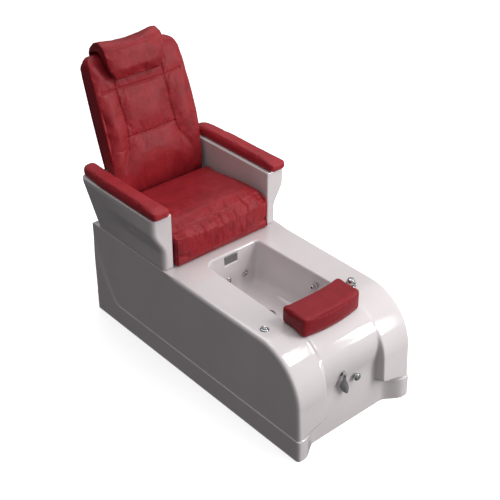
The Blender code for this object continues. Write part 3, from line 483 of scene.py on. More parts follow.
def basin_rings(top):
    """Rings from the deck's edge over the lip, down the wall, round the fillet and to the drain."""
    outer = np.array([(x, y) for x, y, _ in top])
    rings = []

    def add(at, height):
        rings.append(np.column_stack([at, np.full(len(at), height)]))

    lip_start = towards_basin(outer, BASIN_LIP)
    for share in np.linspace(0, 1, 13)[1:]:
        at = outer + (lip_start - outer) * share
        add(at, deck_height(at[:, 1]))
    lip_top = deck_height(lip_start[:, 1])
    for turn in quarter_turn(9):
        at = towards_basin(outer, BASIN_LIP * (1 - math.sin(turn)))
        add(at, lip_top - BASIN_LIP * (1 - math.cos(turn)))
    foot_z = BASIN_FLOOR_Z + BASIN_FILLET
    foot_offset = -(BASIN_TOP_Z - foot_z) * BASIN_DRAFT
    for z in np.linspace(0.474, foot_z, 34):
        add(towards_basin(outer, min(0.0, -(BASIN_TOP_Z - z) * BASIN_DRAFT)), z)
        rings[-1][:, 1] += wall_pocket(rings[-1])
    for turn in quarter_turn(12):
        at = towards_basin(outer, foot_offset - BASIN_FILLET * (1 - math.cos(turn)))
        add(at, foot_z - BASIN_FILLET * math.sin(turn))
    edge = rings[-1][:, :2]
    angles = np.arctan2(edge[:, 1] - DRAIN_Y, edge[:, 0])
    hole = np.column_stack([DRAIN_HOLE * np.cos(angles), DRAIN_Y + DRAIN_HOLE * np.sin(angles)])
    for share in np.linspace(0, 1, 11)[1:]:
        add(edge + (hole - edge) * share, BASIN_FLOOR_Z)
    return rings


def rear_wall_y(z):
    """The basin's rear wall leans by its draft."""
    return BASIN_REAR_Y - (BASIN_TOP_Z - z) * BASIN_DRAFT


def wall_pocket(ring):
    """Depth of the shallow rectangular pocket in the basin's rear wall."""
    across = smooth_step((0.041 - np.abs(ring[:, 0] - POCKET_X)) / 0.006)
    up = smooth_step((0.0255 - np.abs(ring[:, 2] - POCKET_Z)) / 0.006)
    on_rear = (ring[:, 1] > BASIN_REAR_Y - 0.03) & (np.abs(ring[:, 0]) < 0.1)
    return 0.005 * across * up * on_rear


def rear_rounded(ring, radius=0.034):
    """The ring with the deck's rear edge rolled over."""
    found = []
    for x, y, z in ring:
        back, up = y - (BASE_LENGTH - radius), z - (DECK_Z - radius)
        reach = math.hypot(back, up)
        if back > 0 and up > 0 and reach > radius:
            y = BASE_LENGTH - radius + back * radius / reach
            z = DECK_Z - radius + up * radius / reach
        found.append((x, y, z))
    return found


def make_shell():
    levels = list(np.linspace(SHELL_BOTTOM_Z, 0.098, 9))
    levels += [0.102, 0.1038, 0.1046, 0.1054, 0.1062, 0.1085]  # close together at the skirt's step
    levels += list(np.arange(0.113, 0.25, 0.0055)) + [BULGE_Z]
    levels += list(BULGE_Z + (DECK_Z - BULGE_Z) * np.sin(np.radians(np.arange(3, 69, 2.6))))
    levels = [(z, z) for z in levels if z < 0.477]
    for z in (0.479, 0.4825, 0.4855, 0.488, 0.49, 0.4918, 0.493, 0.494, 0.4946, DECK_Z):
        levels.append((z, min(z, 0.479 + 0.0115 * (z - 0.479) / (DECK_Z - 0.479))))
    rings = []
    for level in levels:
        half = shell_half_ring(*level)
        rings.append(half + [(-x, y, z) for x, y, z in reversed(half[1:-1])])
    middle_y = BASE_LENGTH / 2
    scale_x, scale_y = 1 - SHELL_WALL / BASE_HALF_WIDTH, 1 - SHELL_WALL / middle_y
    inner = [(x * scale_x, middle_y + (y - middle_y) * scale_y, z) for x, y, z in rings[0]]
    deep = [(x, y, 0.06) for x, y, _ in inner]
    rings = [deep, inner] + rings + [[tuple(p) for p in ring] for ring in basin_rings(rings[-1])]
    count = len(rings[0])
    points = [(x, y + FRONT_Y, z) for ring in rings for x, y, z in rear_rounded(ring)]
    faces = []  # all but those behind the rear service panel
    for face in strips(count, len(rings)):
        centre = np.mean([points[i] for i in face], axis=0)
        on_rear = centre[1] > FRONT_Y + 1.44
        if not (on_rear and abs(centre[0]) < 0.21 and 0.14 < centre[2] < 0.41):
            faces.append(face)
    skin = mesh_from("base_skin", points, faces)
    place("base_skin", skin, "gelcoat", "base", ["base_shell", "basin"], angle=50)


# ---- armrests
def arc(centre, radius, start, end, steps):
    angles = np.radians(np.linspace(start, end, steps + 1))
    return [(centre[0] + radius * math.cos(a), centre[1] + radius * math.sin(a)) for a in angles]


def arm_ring(z, inset):
    """Plan outline of the left arm shell: upright inside, flared outside."""
    rear = 1.408 + (1.432 - 1.408) * (z - 0.4985) / (ARM_TOP_Z - 0.4985) - inset
    inner, front = ARM_INNER_X + inset, ARM_FRONT_Y + inset
    small, front_r, rear_r = 0.007, 0.026 - inset / 2, 0.038 - inset / 2
    waisted = smooth_step((z - 0.575) / (0.7 - 0.575))
    straight = np.clip((z - 0.505) / (0.745 - 0.505), 0.0, 1.0)

    def outer(y):
        share = smooth_step((y - 0.95) / 0.38)
        return 0.3285 + (0.38 - 0.3285) * (waisted + (straight - waisted) * share) - inset

    points = arc((outer(front) - front_r, front + front_r), front_r, -90, 0, 12)
    points += [(outer(y), y) for y in np.linspace(front + front_r, rear - rear_r, 30)[1:-1]]
    points += arc((outer(rear) - rear_r, rear - rear_r), rear_r, 0, 90, 12)
    points += arc((inner + small, rear - small), small, 90, 180, 8)
    points += [(inner, y) for y in np.linspace(rear - small, front + small, 30)[1:-1]]
    points += arc((inner + small, front + small), small, 180, 270, 8)
    return points


def make_arms():
    roll = 0.0055  # radius of the top edge
    levels = [(0.52, 0.004), (ARM_BOTTOM_Z, 0.004), (ARM_BOTTOM_Z, 0.0008),
              (ARM_BOTTOM_Z + 0.001, 0)]
    levels += [(z, 0.0) for z in np.linspace(0.51, ARM_TOP_Z - roll, 44)]
    levels += [(ARM_TOP_Z - roll * (1 - math.sin(t)), roll * (1 - math.cos(t)))
               for t in quarter_turn(7)]
    levels.append((ARM_TOP_Z - 0.0002, 0.03))
    rings = [arm_ring(z, inset) for z, inset in levels]
    count = len(rings[0])
    top = tuple(range(count * (len(rings) - 1), count * len(rings)))
    for side, name in SIDES:
        points = [(side * x, y + FRONT_Y, z)
                  for ring, (z, _) in zip(rings, levels) for x, y in ring]
        mesh = mesh_from(f"arm_skin_{name}", points, strips(count, len(rings)) + [top])
        place(f"arm_skin_{name}", mesh, "gelcoat", "chair", [f"arm_shell_{name}"], angle=50)


# ---- padded pieces
def remeshed(cad_node, voxel, rounds):
    """An even mesh over a CAD pad, which the pressure then works on."""
    return evaluated(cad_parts[cad_node].data.copy(),
                     ("REMESH", {"mode": "VOXEL", "voxel_size": voxel}),
                     ("SMOOTH", {"factor": 0.5, "iterations": rounds}))


def subdivided(mesh, rounds):
    return evaluated(mesh, ("SUBSURF", {"levels": 1, "render_levels": 1}),
                     ("SMOOTH", {"factor": 0.5, "iterations": rounds}))


def vectors(collection, key):
    found = np.empty(len(collection) * 3)
    collection.foreach_get(key, found)
    return found.reshape(-1, 3)


def coordinates(mesh):
    return vectors(mesh.vertices, "co")


def normals(mesh):
    return vectors(mesh.vertex_normals, "vector")


def set_coordinates(mesh, points):
    mesh.vertices.foreach_set("co", np.asarray(points, dtype=float).ravel())
    mesh.update()


def moved(matrix, points):
    values = np.array(matrix)
    return points @ values[:3, :3].T + values[:3, 3]


def local_view(mesh, matrix):
    """The mesh's points and normals in the matrix's own axes."""
    facing = normals(mesh) @ np.array(matrix)[:3, :3]
    return moved(matrix.inverted(), coordinates(mesh)), facing


def inflate(jobs, frames=18):
    """Cloth under pressure on every job at once; each point moves no further than its cap."""
    scene = bpy.context.scene
    scene.frame_start, scene.frame_end = 1, frames
    for job in jobs:
        obj = job["object"] = linked(job["name"], job["mesh"])
        held = obj.vertex_groups.new(name="held")
        for index in np.nonzero(job["cap"] <= 0.0006)[0]:
            held.add([int(index)], 1.0, "REPLACE")
        cloth = obj.modifiers.new("cloth", "CLOTH")
        adjust(cloth.settings, quality=4, mass=0.25, tension_stiffness=18, compression_stiffness=18,
               shear_stiffness=8, bending_stiffness=job["bending"], use_pressure=True,
               uniform_pressure_force=job["pressure"], shrink_min=job["shrink"],
               vertex_group_mass="held")
        cloth.settings.effector_weights.gravity = 0
        cloth.collision_settings.use_collision = False
        adjust(cloth.point_cache, frame_start=1, frame_end=frames)
    for number in range(1, frames + 1):
        scene.frame_set(number)
    graph = bpy.context.evaluated_depsgraph_get()
    for job in jobs:
        rest = coordinates(job["mesh"])
        move = coordinates(job["object"].evaluated_get(graph).to_mesh()) - rest
        keep = np.minimum(1.0, job["cap"] / np.maximum(np.linalg.norm(move, axis=1), 1e-9))
        bpy.data.objects.remove(job["object"], do_unlink=True)
        set_coordinates(job["mesh"], rest + move * keep[:, None])
    scene.frame_set(1)


def seam_distance(points, seam):
    """Distance from 2-D points to a seam's polyline, and how far along it the nearest place is."""
    best = np.full(len(points), 1e9)
    along = np.zeros(len(points))
    run = 0.0
    for start, end in zip(seam, seam[1:]):
        start, end = np.array(start), np.array(end)
        length = np.linalg.norm(end - start)
        share = np.clip((points - start) @ (end - start) / length ** 2, 0, 1)
        gap = np.linalg.norm(points - start - share[:, None] * (end - start), axis=1)
        closer = gap < best
        best = np.where(closer, gap, best)
        along = np.where(closer, run + share * length, along)
        run += length
    return best, along


def sew(points, out, seams, flat, facing, depth=0.0045, width=0.0042):
    """Sinks each seam into the pad, with small gathers beside it."""
    flat_points = points[:, flat]
    for seam in seams:
        gap, along = seam_distance(flat_points, seam)
        groove = depth * np.exp(-(gap / width) ** 2)
        gathers = 0.0006 * np.sin(along * 300 + 2.5 * np.sin(along * 47))
        gathers *= np.exp(-(gap / 0.016) ** 2) * (1 - np.exp(-(gap / 0.005) ** 2))
        points = points - out * ((groove + gathers) * facing)[:, None]
    return points


def wrinkled(points, out, amount, scale, stretch, seed):
    """Sculpted creases: stretched ridged noise along the normals."""
    move = np.empty(len(points))
    scale_by = Vector(stretch) * scale
    for k, point in enumerate(points):
        at = Vector((point[0] * scale_by.x, point[1] * scale_by.y, point[2] * scale_by.z + seed))
        move[k] = noise.fractal(at, 0.7, 2.1, 4) * 0.6 - abs(noise.noise(at * 0.7)) * 0.9
    return points + out * (move * amount)[:, None]


def surface_tree(mesh):
    return BVHTree.FromPolygons([v.co for v in mesh.vertices], [p.vertices for p in mesh.polygons])


def draped(mesh, matrix, path, facing, lift):
    """A path of local points dropped along a local direction on to a pad's surface."""
    tree = surface_tree(mesh)
    direction = (matrix.to_3x3() @ Vector(facing)).normalized()
    hits = [tree.ray_cast(matrix @ Vector(point) - direction * 0.2, direction)[0] for point in path]
    return [hit - direction * lift for hit in hits if hit is not None]


def laid_on(mesh, path, lift):
    """The path with each point moved to the nearest spot of the mesh, and lift outwards from it."""
    tree = surface_tree(mesh)
    found = [tree.find_nearest(Vector(point)) for point in path]
    return [spot + normal * lift for spot, normal, _, _ in found]


def resampled(path, step):
    points = [Vector(p) for p in path]
    found = [points[0]]
    for start, end in zip(points, points[1:]):
        count = max(1, round((end - start).length / step))
        found += [start.lerp(end, k / count) for k in range(1, count + 1)]
    return found


def smoothed(path, rounds=3):
    """The path with its corners worn off; its ends stay."""
    for _ in range(rounds):
        inner = [(a + 2 * b + c) / 4 for a, b, c in zip(path, path[1:], path[2:])]
        path = [path[0]] + inner + [path[-1]]
    return path


def piping(name, path, body):
    """A round cord along a path, in a seam."""
    curve = bpy.data.curves.new(name, "CURVE")
    adjust(curve, dimensions="3D", bevel_depth=PIPING_RADIUS, bevel_resolution=3,
           use_fill_caps=True)
    spline = curve.splines.new("POLY")
    spline.points.add(len(path) - 1)
    for knot, point in zip(spline.points, path):
        knot.co = (*point, 1.0)
    place(name, evaluated(curve), "piping", body, slot="red_leather")


def stitches(name, mesh, matrix, paths, facing, body, pitch=0.0052, radius=0.00055):
    """Short raised threads in rows along the seams."""
    work = opened()
    for path in paths:
        line = draped(mesh, matrix, resampled(path, pitch / 2), facing, radius * 0.4)
        for start, end in zip(line[::2], line[1::2]):
            run = end - start
            if run.length > pitch:
                continue
            at = (Matrix.Translation((start + end) / 2)
                  @ run.to_track_quat("Z", "Y").to_matrix().to_4x4()
                  @ Matrix.Diagonal((radius, radius, run.length * 0.72, 1)))
            bmesh.ops.create_icosphere(work, subdivisions=1, radius=1.0, matrix=at)
    place(name, baked(name, work), "thread", body, slot="red_leather", angle=0)


# Seams of the backrest's front, as (x, z) in the back's own plane.
BACK_SEAMS = [
    [(-0.142, 0.66), (-0.142, 0.543), (-0.142, 0.455), (-0.136, 0.372), (-0.14, 0.297),
     (-0.154, 0.235)],
    [(0.126, 0.66), (0.126, 0.469), (0.122, 0.385), (0.127, 0.295), (0.139, 0.24)],
    [(-0.222, 0.52), (-0.142, 0.518), (0.033, 0.515), (0.126, 0.517), (0.222, 0.525)],
    [(-0.139, 0.293), (-0.005, 0.29), (0.128, 0.296)],
]
SEAT_SEAMS = [[(-0.262, SEAT_SEAM_Y), (0.262, SEAT_SEAM_Y)]]


def back_widening(x, z):
    """The share by which the backrest is wider than its CAD shape: it bulges, more on the left."""
    bulge = np.sin(np.pi * np.clip(z / BACK_HEIGHT, 0, 1))
    return np.where(x > 0, 0.075 * bulge, 0.022 * bulge - 0.01)


# Each form_ function moves a pad's points, in its own axes, and returns how far the pressure
# may then move each one.


def form_back(points, facing):
    x, y, z = points.T
    front = smooth_step(-facing[:, 1] * 1.5)
    sunk = smooth_step((z - 0.545) / 0.03) * smooth_step((0.185 - np.abs(x - PILLOW_X)) / 0.02)
    points[:, 0] *= 1 + (back_widening(x, z) + 0.012 * ((x > 0) & (z > 0.2))) * (y < 0.005)
    points -= facing * (0.006 * front)[:, None]
    cap = 0.002 + 0.017 * front * (1 - sunk)
    cap = np.where((y > 0.0) | (z < 0.02), 0.0, cap)
    for seam in BACK_SEAMS:
        gap, _ = seam_distance(points[:, [0, 2]], seam)
        cap = np.where((gap < 0.0045) & (front > 0.5), 0.0004, cap)
    return cap


def form_seat(points, facing):
    y, z = points.T[1:]
    upper = smooth_step(facing[:, 2] * 1.5 + 0.2)
    ahead = smooth_step(-facing[:, 1] * 1.5)
    points -= facing * (0.005 * np.maximum(upper, ahead))[:, None]
    tuck = smooth_step((y - 1.2) / 0.09) * smooth_step((z - 0.6) / 0.04)
    points[:, 1] += 0.014 * tuck
    points[:, 2] += 0.016 * tuck
    skirt = smooth_step((0.56 - z) / 0.05) * smooth_step((0.97 - y) / 0.04)
    points[:, 1] -= 0.004 * skirt
    points[:, 2] -= (z.min() - 0.4975) * skirt
    cap = 0.0008 + 0.016 * upper * smooth_step((y - 0.86) / 0.05) * (1 - tuck) + 0.007 * ahead
    cap = np.where((z < 0.52) | ((facing[:, 2] < -0.5) & (z < 0.6)) | (y > 1.285), 0.0, cap)
    gap, _ = seam_distance(points[:, [0, 1]], SEAT_SEAMS[0])
    return np.where((gap < 0.004) & (upper > 0.5), cap * 0.45, cap)


def form_pillow(points, facing):
    x, y, z = points.T
    middle = 1 - np.clip(np.abs(x - PILLOW_X) / 0.16, 0, 1) ** 2
    points[:, 2] += (0.001 - 0.013 * middle) * smooth_step((z - 0.7) / 0.03)
    flare = smooth_step((x - 0.05) / 0.1) * smooth_step((0.69 - z) / 0.06) * (y < -0.09)
    points[:, 0] -= 0.012 * flare
    outward = np.where(z > 0.69, facing[:, 2], -facing[:, 1])
    open_side = smooth_step(outward * 1.6)
    points -= facing * (0.003 * open_side)[:, None]
    inner = (y > -0.1) & (facing[:, 1] > 0.2) & (y < 0.0)
    cap = np.where(inner | (y > 0.012), 0.0, 0.0008 + 0.009 * open_side)
    flap = (y < -0.04) & (z < 0.69)
    hem = z[flap].min()
    points[:, 2] -= np.where(flap, 0.013 * np.clip((0.69 - z) / (0.69 - hem), 0, 1), 0)
    return cap


def form_rear(points, facing):
    x, y, z = points.T
    points[:, 0] *= 1 + back_widening(x, z)
    radius, centre_x, centre_z = 0.058, 0.1885, 0.616  # of the rounded upper corners
    across, up = np.abs(x) - centre_x, z - centre_z
    reach = np.hypot(across, up)
    round_off = (across > 0) & (up > 0) & (reach > radius)
    scale = np.where(round_off, radius / np.maximum(reach, 1e-6), 1.0)
    points[:, 0] = np.where(round_off, np.sign(x) * (centre_x + across * scale), x)
    points[:, 2] = np.where(round_off, centre_z + up * scale, z)
    open_side = smooth_step(facing[:, 1] * 1.6)
    under_pillow = (z > 0.42) & (np.abs(x - PILLOW_X) < 0.175)
    return np.where((y < 0.0125) | under_pillow, 0.0, 0.0006 + 0.007 * open_side)


def form_footrest(points, facing):
    points -= facing * 0.0022
    z = points[:, 2]
    cap = np.where(z < 0.513, 0.0, 0.0025)
    resting = deck_height(points[:, 1] - FRONT_Y) + 0.002 - z.min()
    points[:, 2] += resting * np.clip((0.54 - z) / (0.54 - z.min()), 0, 1)
    return cap


def form_arm_pad(points, facing):
    open_side = smooth_step(facing[:, 2] * 1.4 + 0.5)
    points -= facing * (0.002 * open_side)[:, None]
    return np.where(points[:, 2] < ARM_TOP_Z + 0.004, 0.0, 0.0006 + 0.005 * open_side)


# Each shape_ function returns the blown pad's points, and the amount, scale, stretch and seed
# of its wrinkles.
def shape_back(points, facing):
    front = smooth_step(-facing[:, 1] * 2)
    points = sew(points, facing, BACK_SEAMS, [0, 2], front)
    near = np.min([seam_distance(points[:, [0, 2]], seam)[0] for seam in BACK_SEAMS], axis=0)
    return points, 0.0013 * front * (0.4 + np.exp(-near / 0.03)), 26.0, (1.0, 0.6, 0.75), 3.0


def shape_seat(points, facing):
    y, z = points.T[1:]
    roll = smooth_step((0.965 - y) / 0.05) * smooth_step((z - 0.5) / 0.05)
    upper = smooth_step(facing[:, 2] * 2)
    amount = 0.0008 * upper + 0.0034 * roll * smooth_step((0.655 - np.abs(z - 0.62) * 3) / 0.6)
    points = sew(points, facing, SEAT_SEAMS, [0, 1], upper, 0.0022, 0.0035)
    return points, amount, 30.0, (1.35, 0.7, 0.55), 9.0


def shape_pillow(points, facing):
    front = smooth_step(np.maximum(-facing[:, 1], facing[:, 2]) * 2) * (points[:, 1] < 0.012)
    return points, 0.0013 * front, 24.0, (1.0, 0.7, 0.8), 14.0


PAD = dict(
    matrix=WORLD, voxel=0.006, rounds=6, pressure=3.0, bending=0.6, relax=2, shape=None,
    finish="red_leather")
# The arm pads take the red vinyl painted lighter, which is painted light.
ARM_PAD = dict(
    form=form_arm_pad, voxel=0.005, rounds=3, shrink=-0.006, bending=2.0, finish="arm_vinyl",
    body="chair", fill=0.9)
CUSHIONS = {
    "back_cushion": dict(
        name="back_cushion_cover", body="backrest", matrix=BACK, form=form_back, pressure=4.0,
        shrink=-0.008, bending=2.5, shape=shape_back, fill=0.8),
    "seat_cushion": dict(
        name="seat_cushion_cover", body="chair", matrix=FRONT, form=form_seat, pressure=3.6,
        shrink=-0.04, bending=0.4, shape=shape_seat, fill=0.75),
    "head_pillow": dict(
        name="head_pillow_cover", body="headrest", matrix=BACK, form=form_pillow, voxel=0.005,
        pressure=3.4, shrink=-0.03, relax=14, shape=shape_pillow, fill=0.7),
    "back_panel": dict(
        name="back_rear_cover", body="backrest", matrix=BACK, form=form_rear, shrink=-0.01,
        fill=0.5),
    # The footrest takes the red vinyl painted darker, which is painted shade.
    "footrest_pad": dict(
        name="footrest_cover", body="footrest", form=form_footrest, voxel=0.004, rounds=2,
        shrink=-0.004, bending=3.0, finish="foot_vinyl", fill=0.9),
    "arm_pad_left": dict(ARM_PAD, name="arm_pad_cover_left"),
    "arm_pad_right": dict(ARM_PAD, name="arm_pad_cover_right"),
}


def make_cushions():
    """The padded pieces; returns each one's mesh under the name of the CAD node it stands for."""
    jobs = {node_name: dict(PAD, **row) for node_name, row in CUSHIONS.items()}
    for node_name, job in jobs.items():
        job["mesh"] = remeshed(node_name, job["voxel"], job["rounds"])
        points, facing = local_view(job["mesh"], job["matrix"])
        job["cap"] = job["form"](points, facing)
        set_coordinates(job["mesh"], moved(job["matrix"], points))
    inflate(list(jobs.values()))
    meshes = {}
    for node_name, job in jobs.items():
        mesh = meshes[node_name] = subdivided(job["mesh"], job["relax"])
        if job["shape"]:
            points, *creases = job["shape"](*local_view(mesh, job["matrix"]))
            points = wrinkled(moved(job["matrix"], points), normals(mesh), *creases)
            set_coordinates(mesh, points)
        obj = place(job["name"], mesh, job["finish"], job["body"], [node_name],
                    slot="red_leather", angle=0)
    return meshes


def make_trim(covers):
    """Stitching beside the seams, and piping round the rear panel and the seat's ends."""
    rows = []
    for seam in BACK_SEAMS:
        for side in (-1, 1):
            row = []
            for k, (x, z) in enumerate(seam):
                before, after = seam[max(k - 1, 0)], seam[min(k + 1, len(seam) - 1)]
                run = Vector((after[0] - before[0], after[1] - before[1])).normalized()
                row.append((x - side * run.y * 0.0075, 0.0, z + side * run.x * 0.0075))
            rows.append(row)
    stitches("back_stitching", covers["back_cushion"], BACK, rows, (0, 1, 0), "backrest")
    rows = [[(x, SEAT_SEAM_Y + offset, 0.6) for x in (-0.255, 0.255)] for offset in (-0.007, 0.007)]
    stitches("seat_stitching", covers["seat_cushion"], FRONT, rows, (0, 0, -1), "chair")
    for side, name in SIDES:
        x = side * 0.2585
        path = [(x, 0.8605, 0.505), (x, 0.8632, 0.6)]
        path += [(x, y, z) for y, z in arc((0.925, 0.618), 0.0605, 180, 90, 12)]
        path += [(x, 1.00, 0.6775), (x, 1.1, 0.665)]
        path = [FRONT @ p for p in resampled(path, 0.006)]
        line = laid_on(covers["seat_cushion"], path, 0.001)
        piping(f"seat_piping_{name}", smoothed(line), "chair")
    for side, name in SIDES:
        outline = [(side * (0.2465 * (1 + back_widening(side, z)) - 0.001), 0.01, z)
                   for z in np.linspace(0.012, 0.61, 60)]
        piping(f"back_piping_{name}", smoothed([BACK @ Vector(p) for p in outline]), "backrest")


# ---- metal fittings
def fitting(node_name, axis, centre, body, profile, rounding=0.0008, finish="chrome"):
    """A turned piece in place of one CAD node, finely rounded."""
    name = f"{node_name}_fine"
    place(name, turned(name, profile, axis, centre, rounding), finish, body, [node_name])


def make_deck_fittings():
    deck = DECK_Z + 0.0003
    button = (-0.272, 0.284 + FRONT_Y, deck)
    fitting("air_button_bezel", "Z", button, "base", [
        (0.0115, 0), (0.0195, 0), (0.0195, 0.002), (0.017, 0.0048), (0.014, 0.0058),
        (0.0115, 0.005), (0.0115, 0)])
    fitting("air_button", "Z", button, "air_switch_button", [
        (0, 0.0045), (0.0105, 0.0045), (0.0112, 0.0055), (0.0112, 0.009), (0.0085, 0.0108),
        (0.005, 0.0104), (0, 0.01)])
    mixer = (0.212, 0.272 + FRONT_Y, deck)
    fitting("mixer_valve_collar", "Z", mixer, "base", [
        (0, 0), (0.023, 0), (0.023, 0.003), (0.02, 0.0065), (0.011, 0.0085),
        (0.011, 0.012), (0, 0.012)])
    body = turned("knob", [
        (0, 0.0123), (0.0165, 0.0123), (0.0185, 0.015), (0.019, 0.026), (0.015, 0.035),
        (0.008, 0.0385), (0, 0.039)], "Z", mixer, 0.003)
    work = opened(body)
    for turn in (40, 160, 280):
        at = Vector((0.0185, 0, 0.0215))
        at.rotate(Matrix.Rotation(math.radians(turn), 3, "Z"))
        lug = Matrix.Translation(Vector(mixer) + at) @ Matrix.Diagonal((0.0066, 0.0066, 0.0078, 1))
        bmesh.ops.create_uvsphere(work, u_segments=28, v_segments=18, radius=1.0, matrix=lug)
    knob = baked("mixer_knob_fine", work)
    place("mixer_knob_fine", knob, "chrome", "mixer_knob", ["mixer_handle"])


def lever_blade(lever):
    """The lever's leaf: a flat outline made solid, then cupped along its ridge."""
    outline = [(-0.006, -0.002), (-0.009, -0.02), (-0.022, -0.042), (-0.02, -0.056),
               (-0.006, -0.083), (0.014, -0.106), (0.022, -0.11), (0.03, -0.102),
               (0.034, -0.083), (0.027, -0.06), (0.013, -0.034), (0.006, -0.002)]
    curve = bpy.data.curves.new("leaf", "CURVE")
    adjust(curve, dimensions="2D", fill_mode="BOTH", extrude=0.001, bevel_depth=0.002,
           bevel_resolution=5, offset=-0.002)
    spline = curve.splines.new("BEZIER")
    spline.bezier_points.add(len(outline) - 1)
    for knot, (x, z) in zip(spline.bezier_points, outline):
        knot.co = (x, z, 0)
        knot.handle_left_type = knot.handle_right_type = "AUTO"
    spline.use_cyclic_u = True
    leaf = evaluated(curve)
    leaf.transform(Matrix.Translation(lever + Vector((0, -0.0115, 0)))
                   @ Matrix.Rotation(math.radians(90), 4, "X"))
    blade = evaluated(leaf, ("REMESH", {"mode": "VOXEL", "voxel_size": 0.0011}))
    points = coordinates(blade)
    across, down = points[:, 0] - lever.x, lever.z - points[:, 2]
    ridge = np.interp(down, [0, 0.055, 0.11], [0.0, 0.004, 0.02])
    cup = np.clip(np.abs(across - ridge) / 0.026, 0, 1) ** 1.4
    points[:, 1] += 0.007 * cup * smooth_step(down / 0.02)
    set_coordinates(blade, points)
    return blade


def make_front_fittings():
    """The drain lever with its ball hub, and the flow knob, on the sunken front panel."""
    lever = Vector((-0.052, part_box("lever_rose")[1][1], 0.294))
    fitting("lever_rose", "Y", lever, "base", [
        (0, 0), (0.013, 0), (0.013, -0.0015), (0.008, -0.003), (0, -0.003)])
    ball = turned("ball", [
        (0, -0.0033), (0.006, -0.0033), (0.0085, -0.0065), (0.0098, -0.011),
        (0.0085, -0.016), (0.0045, -0.0192), (0, -0.02)], "Y", lever, 0.004)
    whole = baked("drain_lever_fine", opened(ball, lever_blade(lever)))
    place("drain_lever_fine", whole, "chrome", "drain_handle", ["drain_lever"])
    knob = (0.032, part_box("flow_knob")[1][1], 0.235)
    fitting("flow_knob", "Y", knob, "flow_control", [
        (0, 0), (0.013, 0), (0.013, -0.005), (0.0095, -0.0065), (0.0095, -0.0095),
        (0.017, -0.011), (0.0178, -0.0165), (0.0135, -0.0212), (0.006, -0.0226),
        (0, -0.0226)], rounding=0.0018)


def make_basin_fittings():
    turns = np.radians(np.linspace(156, 24, 14))
    ball = [(0.011 * math.sin(t), 0.011 * math.cos(t)) for t in turns]
    for side, x, body in (("left", 0.072, "jet_nozzle_l"), ("right", -0.028, "jet_nozzle_r")):
        jet = (x, rear_wall_y(JET_Z) + FRONT_Y, JET_Z)
        fitting(f"jet_flange_{side}", "Y", jet, "base", [
            (0.0104, -0.0045), (0.0104, -0.0065), (0.014, -0.0065), (0.0175, -0.0038),
            (0.0178, -0.0022), (0.0122, -0.0022), (0.0122, 0.031), (0.0113, 0.031),
            (0.0113, -0.0045), (0.0104, -0.0045)])
        fitting(f"jet_nozzle_{side}", "Y", jet, body, [
            (0.0042, -0.01), *ball, (0.0042, 0.01), (0.0042, -0.01)], rounding=0.0004)
    low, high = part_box("fill_spout")
    spout = (high[0] + 0.002, (low[1] + high[1]) / 2, (low[2] + high[2]) / 2)
    fitting("fill_spout", "X", spout, "base", [
        (0.005, -0.002), (0.005, -0.026), (0.008, -0.026), (0.0095, -0.022),
        (0.0095, -0.007), (0.015, -0.005), (0.015, -0.002), (0.005, -0.002)])
    drain = (0, DRAIN_Y + FRONT_Y, BASIN_FLOOR_Z)
    fitting("drain_strainer", "Z", drain, "base", [
        (0.0125, -0.04), (0.0195, -0.04), (0.0195, 0.001), (0.03, 0.001), (0.032, 0.0022),
        (0.03, 0.0038), (0.0175, 0.0038), (0.0165, 0.002), (0.0125, 0.002), (0.0125, -0.04)])
    fitting("drain_stopper", "Z", drain, "drain_plug", [
        (0, -0.02), (0.0035, -0.02), (0.0035, 0.0042), (0.02, 0.0042), (0.0215, 0.0055),
        (0.019, 0.008), (0.01, 0.0098), (0, 0.0102)], rounding=0.002)


def make_wall_plate():
    """The grey cover in the rear wall's pocket: a rounded plate with a raised rim. Its dark grey is
    partly painted shade, standing in for the pocket's shadow.
    """
    at = (Matrix.Translation((POCKET_X, rear_wall_y(POCKET_Z) + 0.0052 + FRONT_Y, POCKET_Z))
          @ Matrix.Rotation(math.pi / 2 + math.atan(BASIN_DRAFT), 4, "X"))
    outlines = [(0.0375, 0.0225, 0.0), (0.0375, 0.0225, 0.003), (0.0365, 0.0215, 0.004),
                (0.0325, 0.0175, 0.004), (0.0315, 0.0165, 0.0026), (0.001, 0.001, 0.0026)]
    points = []
    for half_x, half_z, depth in outlines:
        radius = min(0.006, half_z * 0.6)
        for cx, cz, start in ((1, -1, -90), (1, 1, 0), (-1, 1, 90), (-1, -1, 180)):
            centre = (cx * (half_x - radius), cz * (half_z - radius))
            corner = arc(centre, radius, start, start + 90, 6)
            points += [at @ Vector((x, y, depth)) for x, y in corner]
    faces = strips(len(points) // len(outlines), len(outlines))
    mesh = mesh_from("basin_wall_plate", points, faces)
    place("basin_wall_plate", mesh, "cover", "base", slot="hose")


def make_feet():
    for side, name in SIDES:
        for y, end in ((0.14, "front"), (1.36, "rear")):
            fitting(f"foot_{end}_{name}", "Z", (side * 0.27, y + FRONT_Y, 0), "base", [
                (0, 0), (0.02, 0), (0.024, 0.004), (0.024, 0.01), (0.018, 0.022),
                (0.018, 0.0317), (0, 0.0317)], rounding=0.002, finish="rubber")


# ---- carried-over CAD nodes
def dress_frame_nodes():
    """The frame, pump and drive keep their CAD shape and get the finished materials."""
    for slot, material in FINISHES.items():
        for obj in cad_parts.values():
            for held in obj.material_slots:
                if held.material and held.material.name.split(".")[0] in (slot, f"mat_{slot}"):
                    held.material = material


# ---- studio
LIT_POINT = Vector((0, -0.2, 0.55))
FLOOR_REACH = 400.0
CAMERA_AT = (-2.5345, FRONT_Y - 2.2268, 3.0544)
CAMERA_AZIMUTH = math.radians(-41.017)
CAMERA_ELEVATION = math.radians(32.796)
CAMERA_LENS = 75.2
SENSOR_WIDTH = 36.0


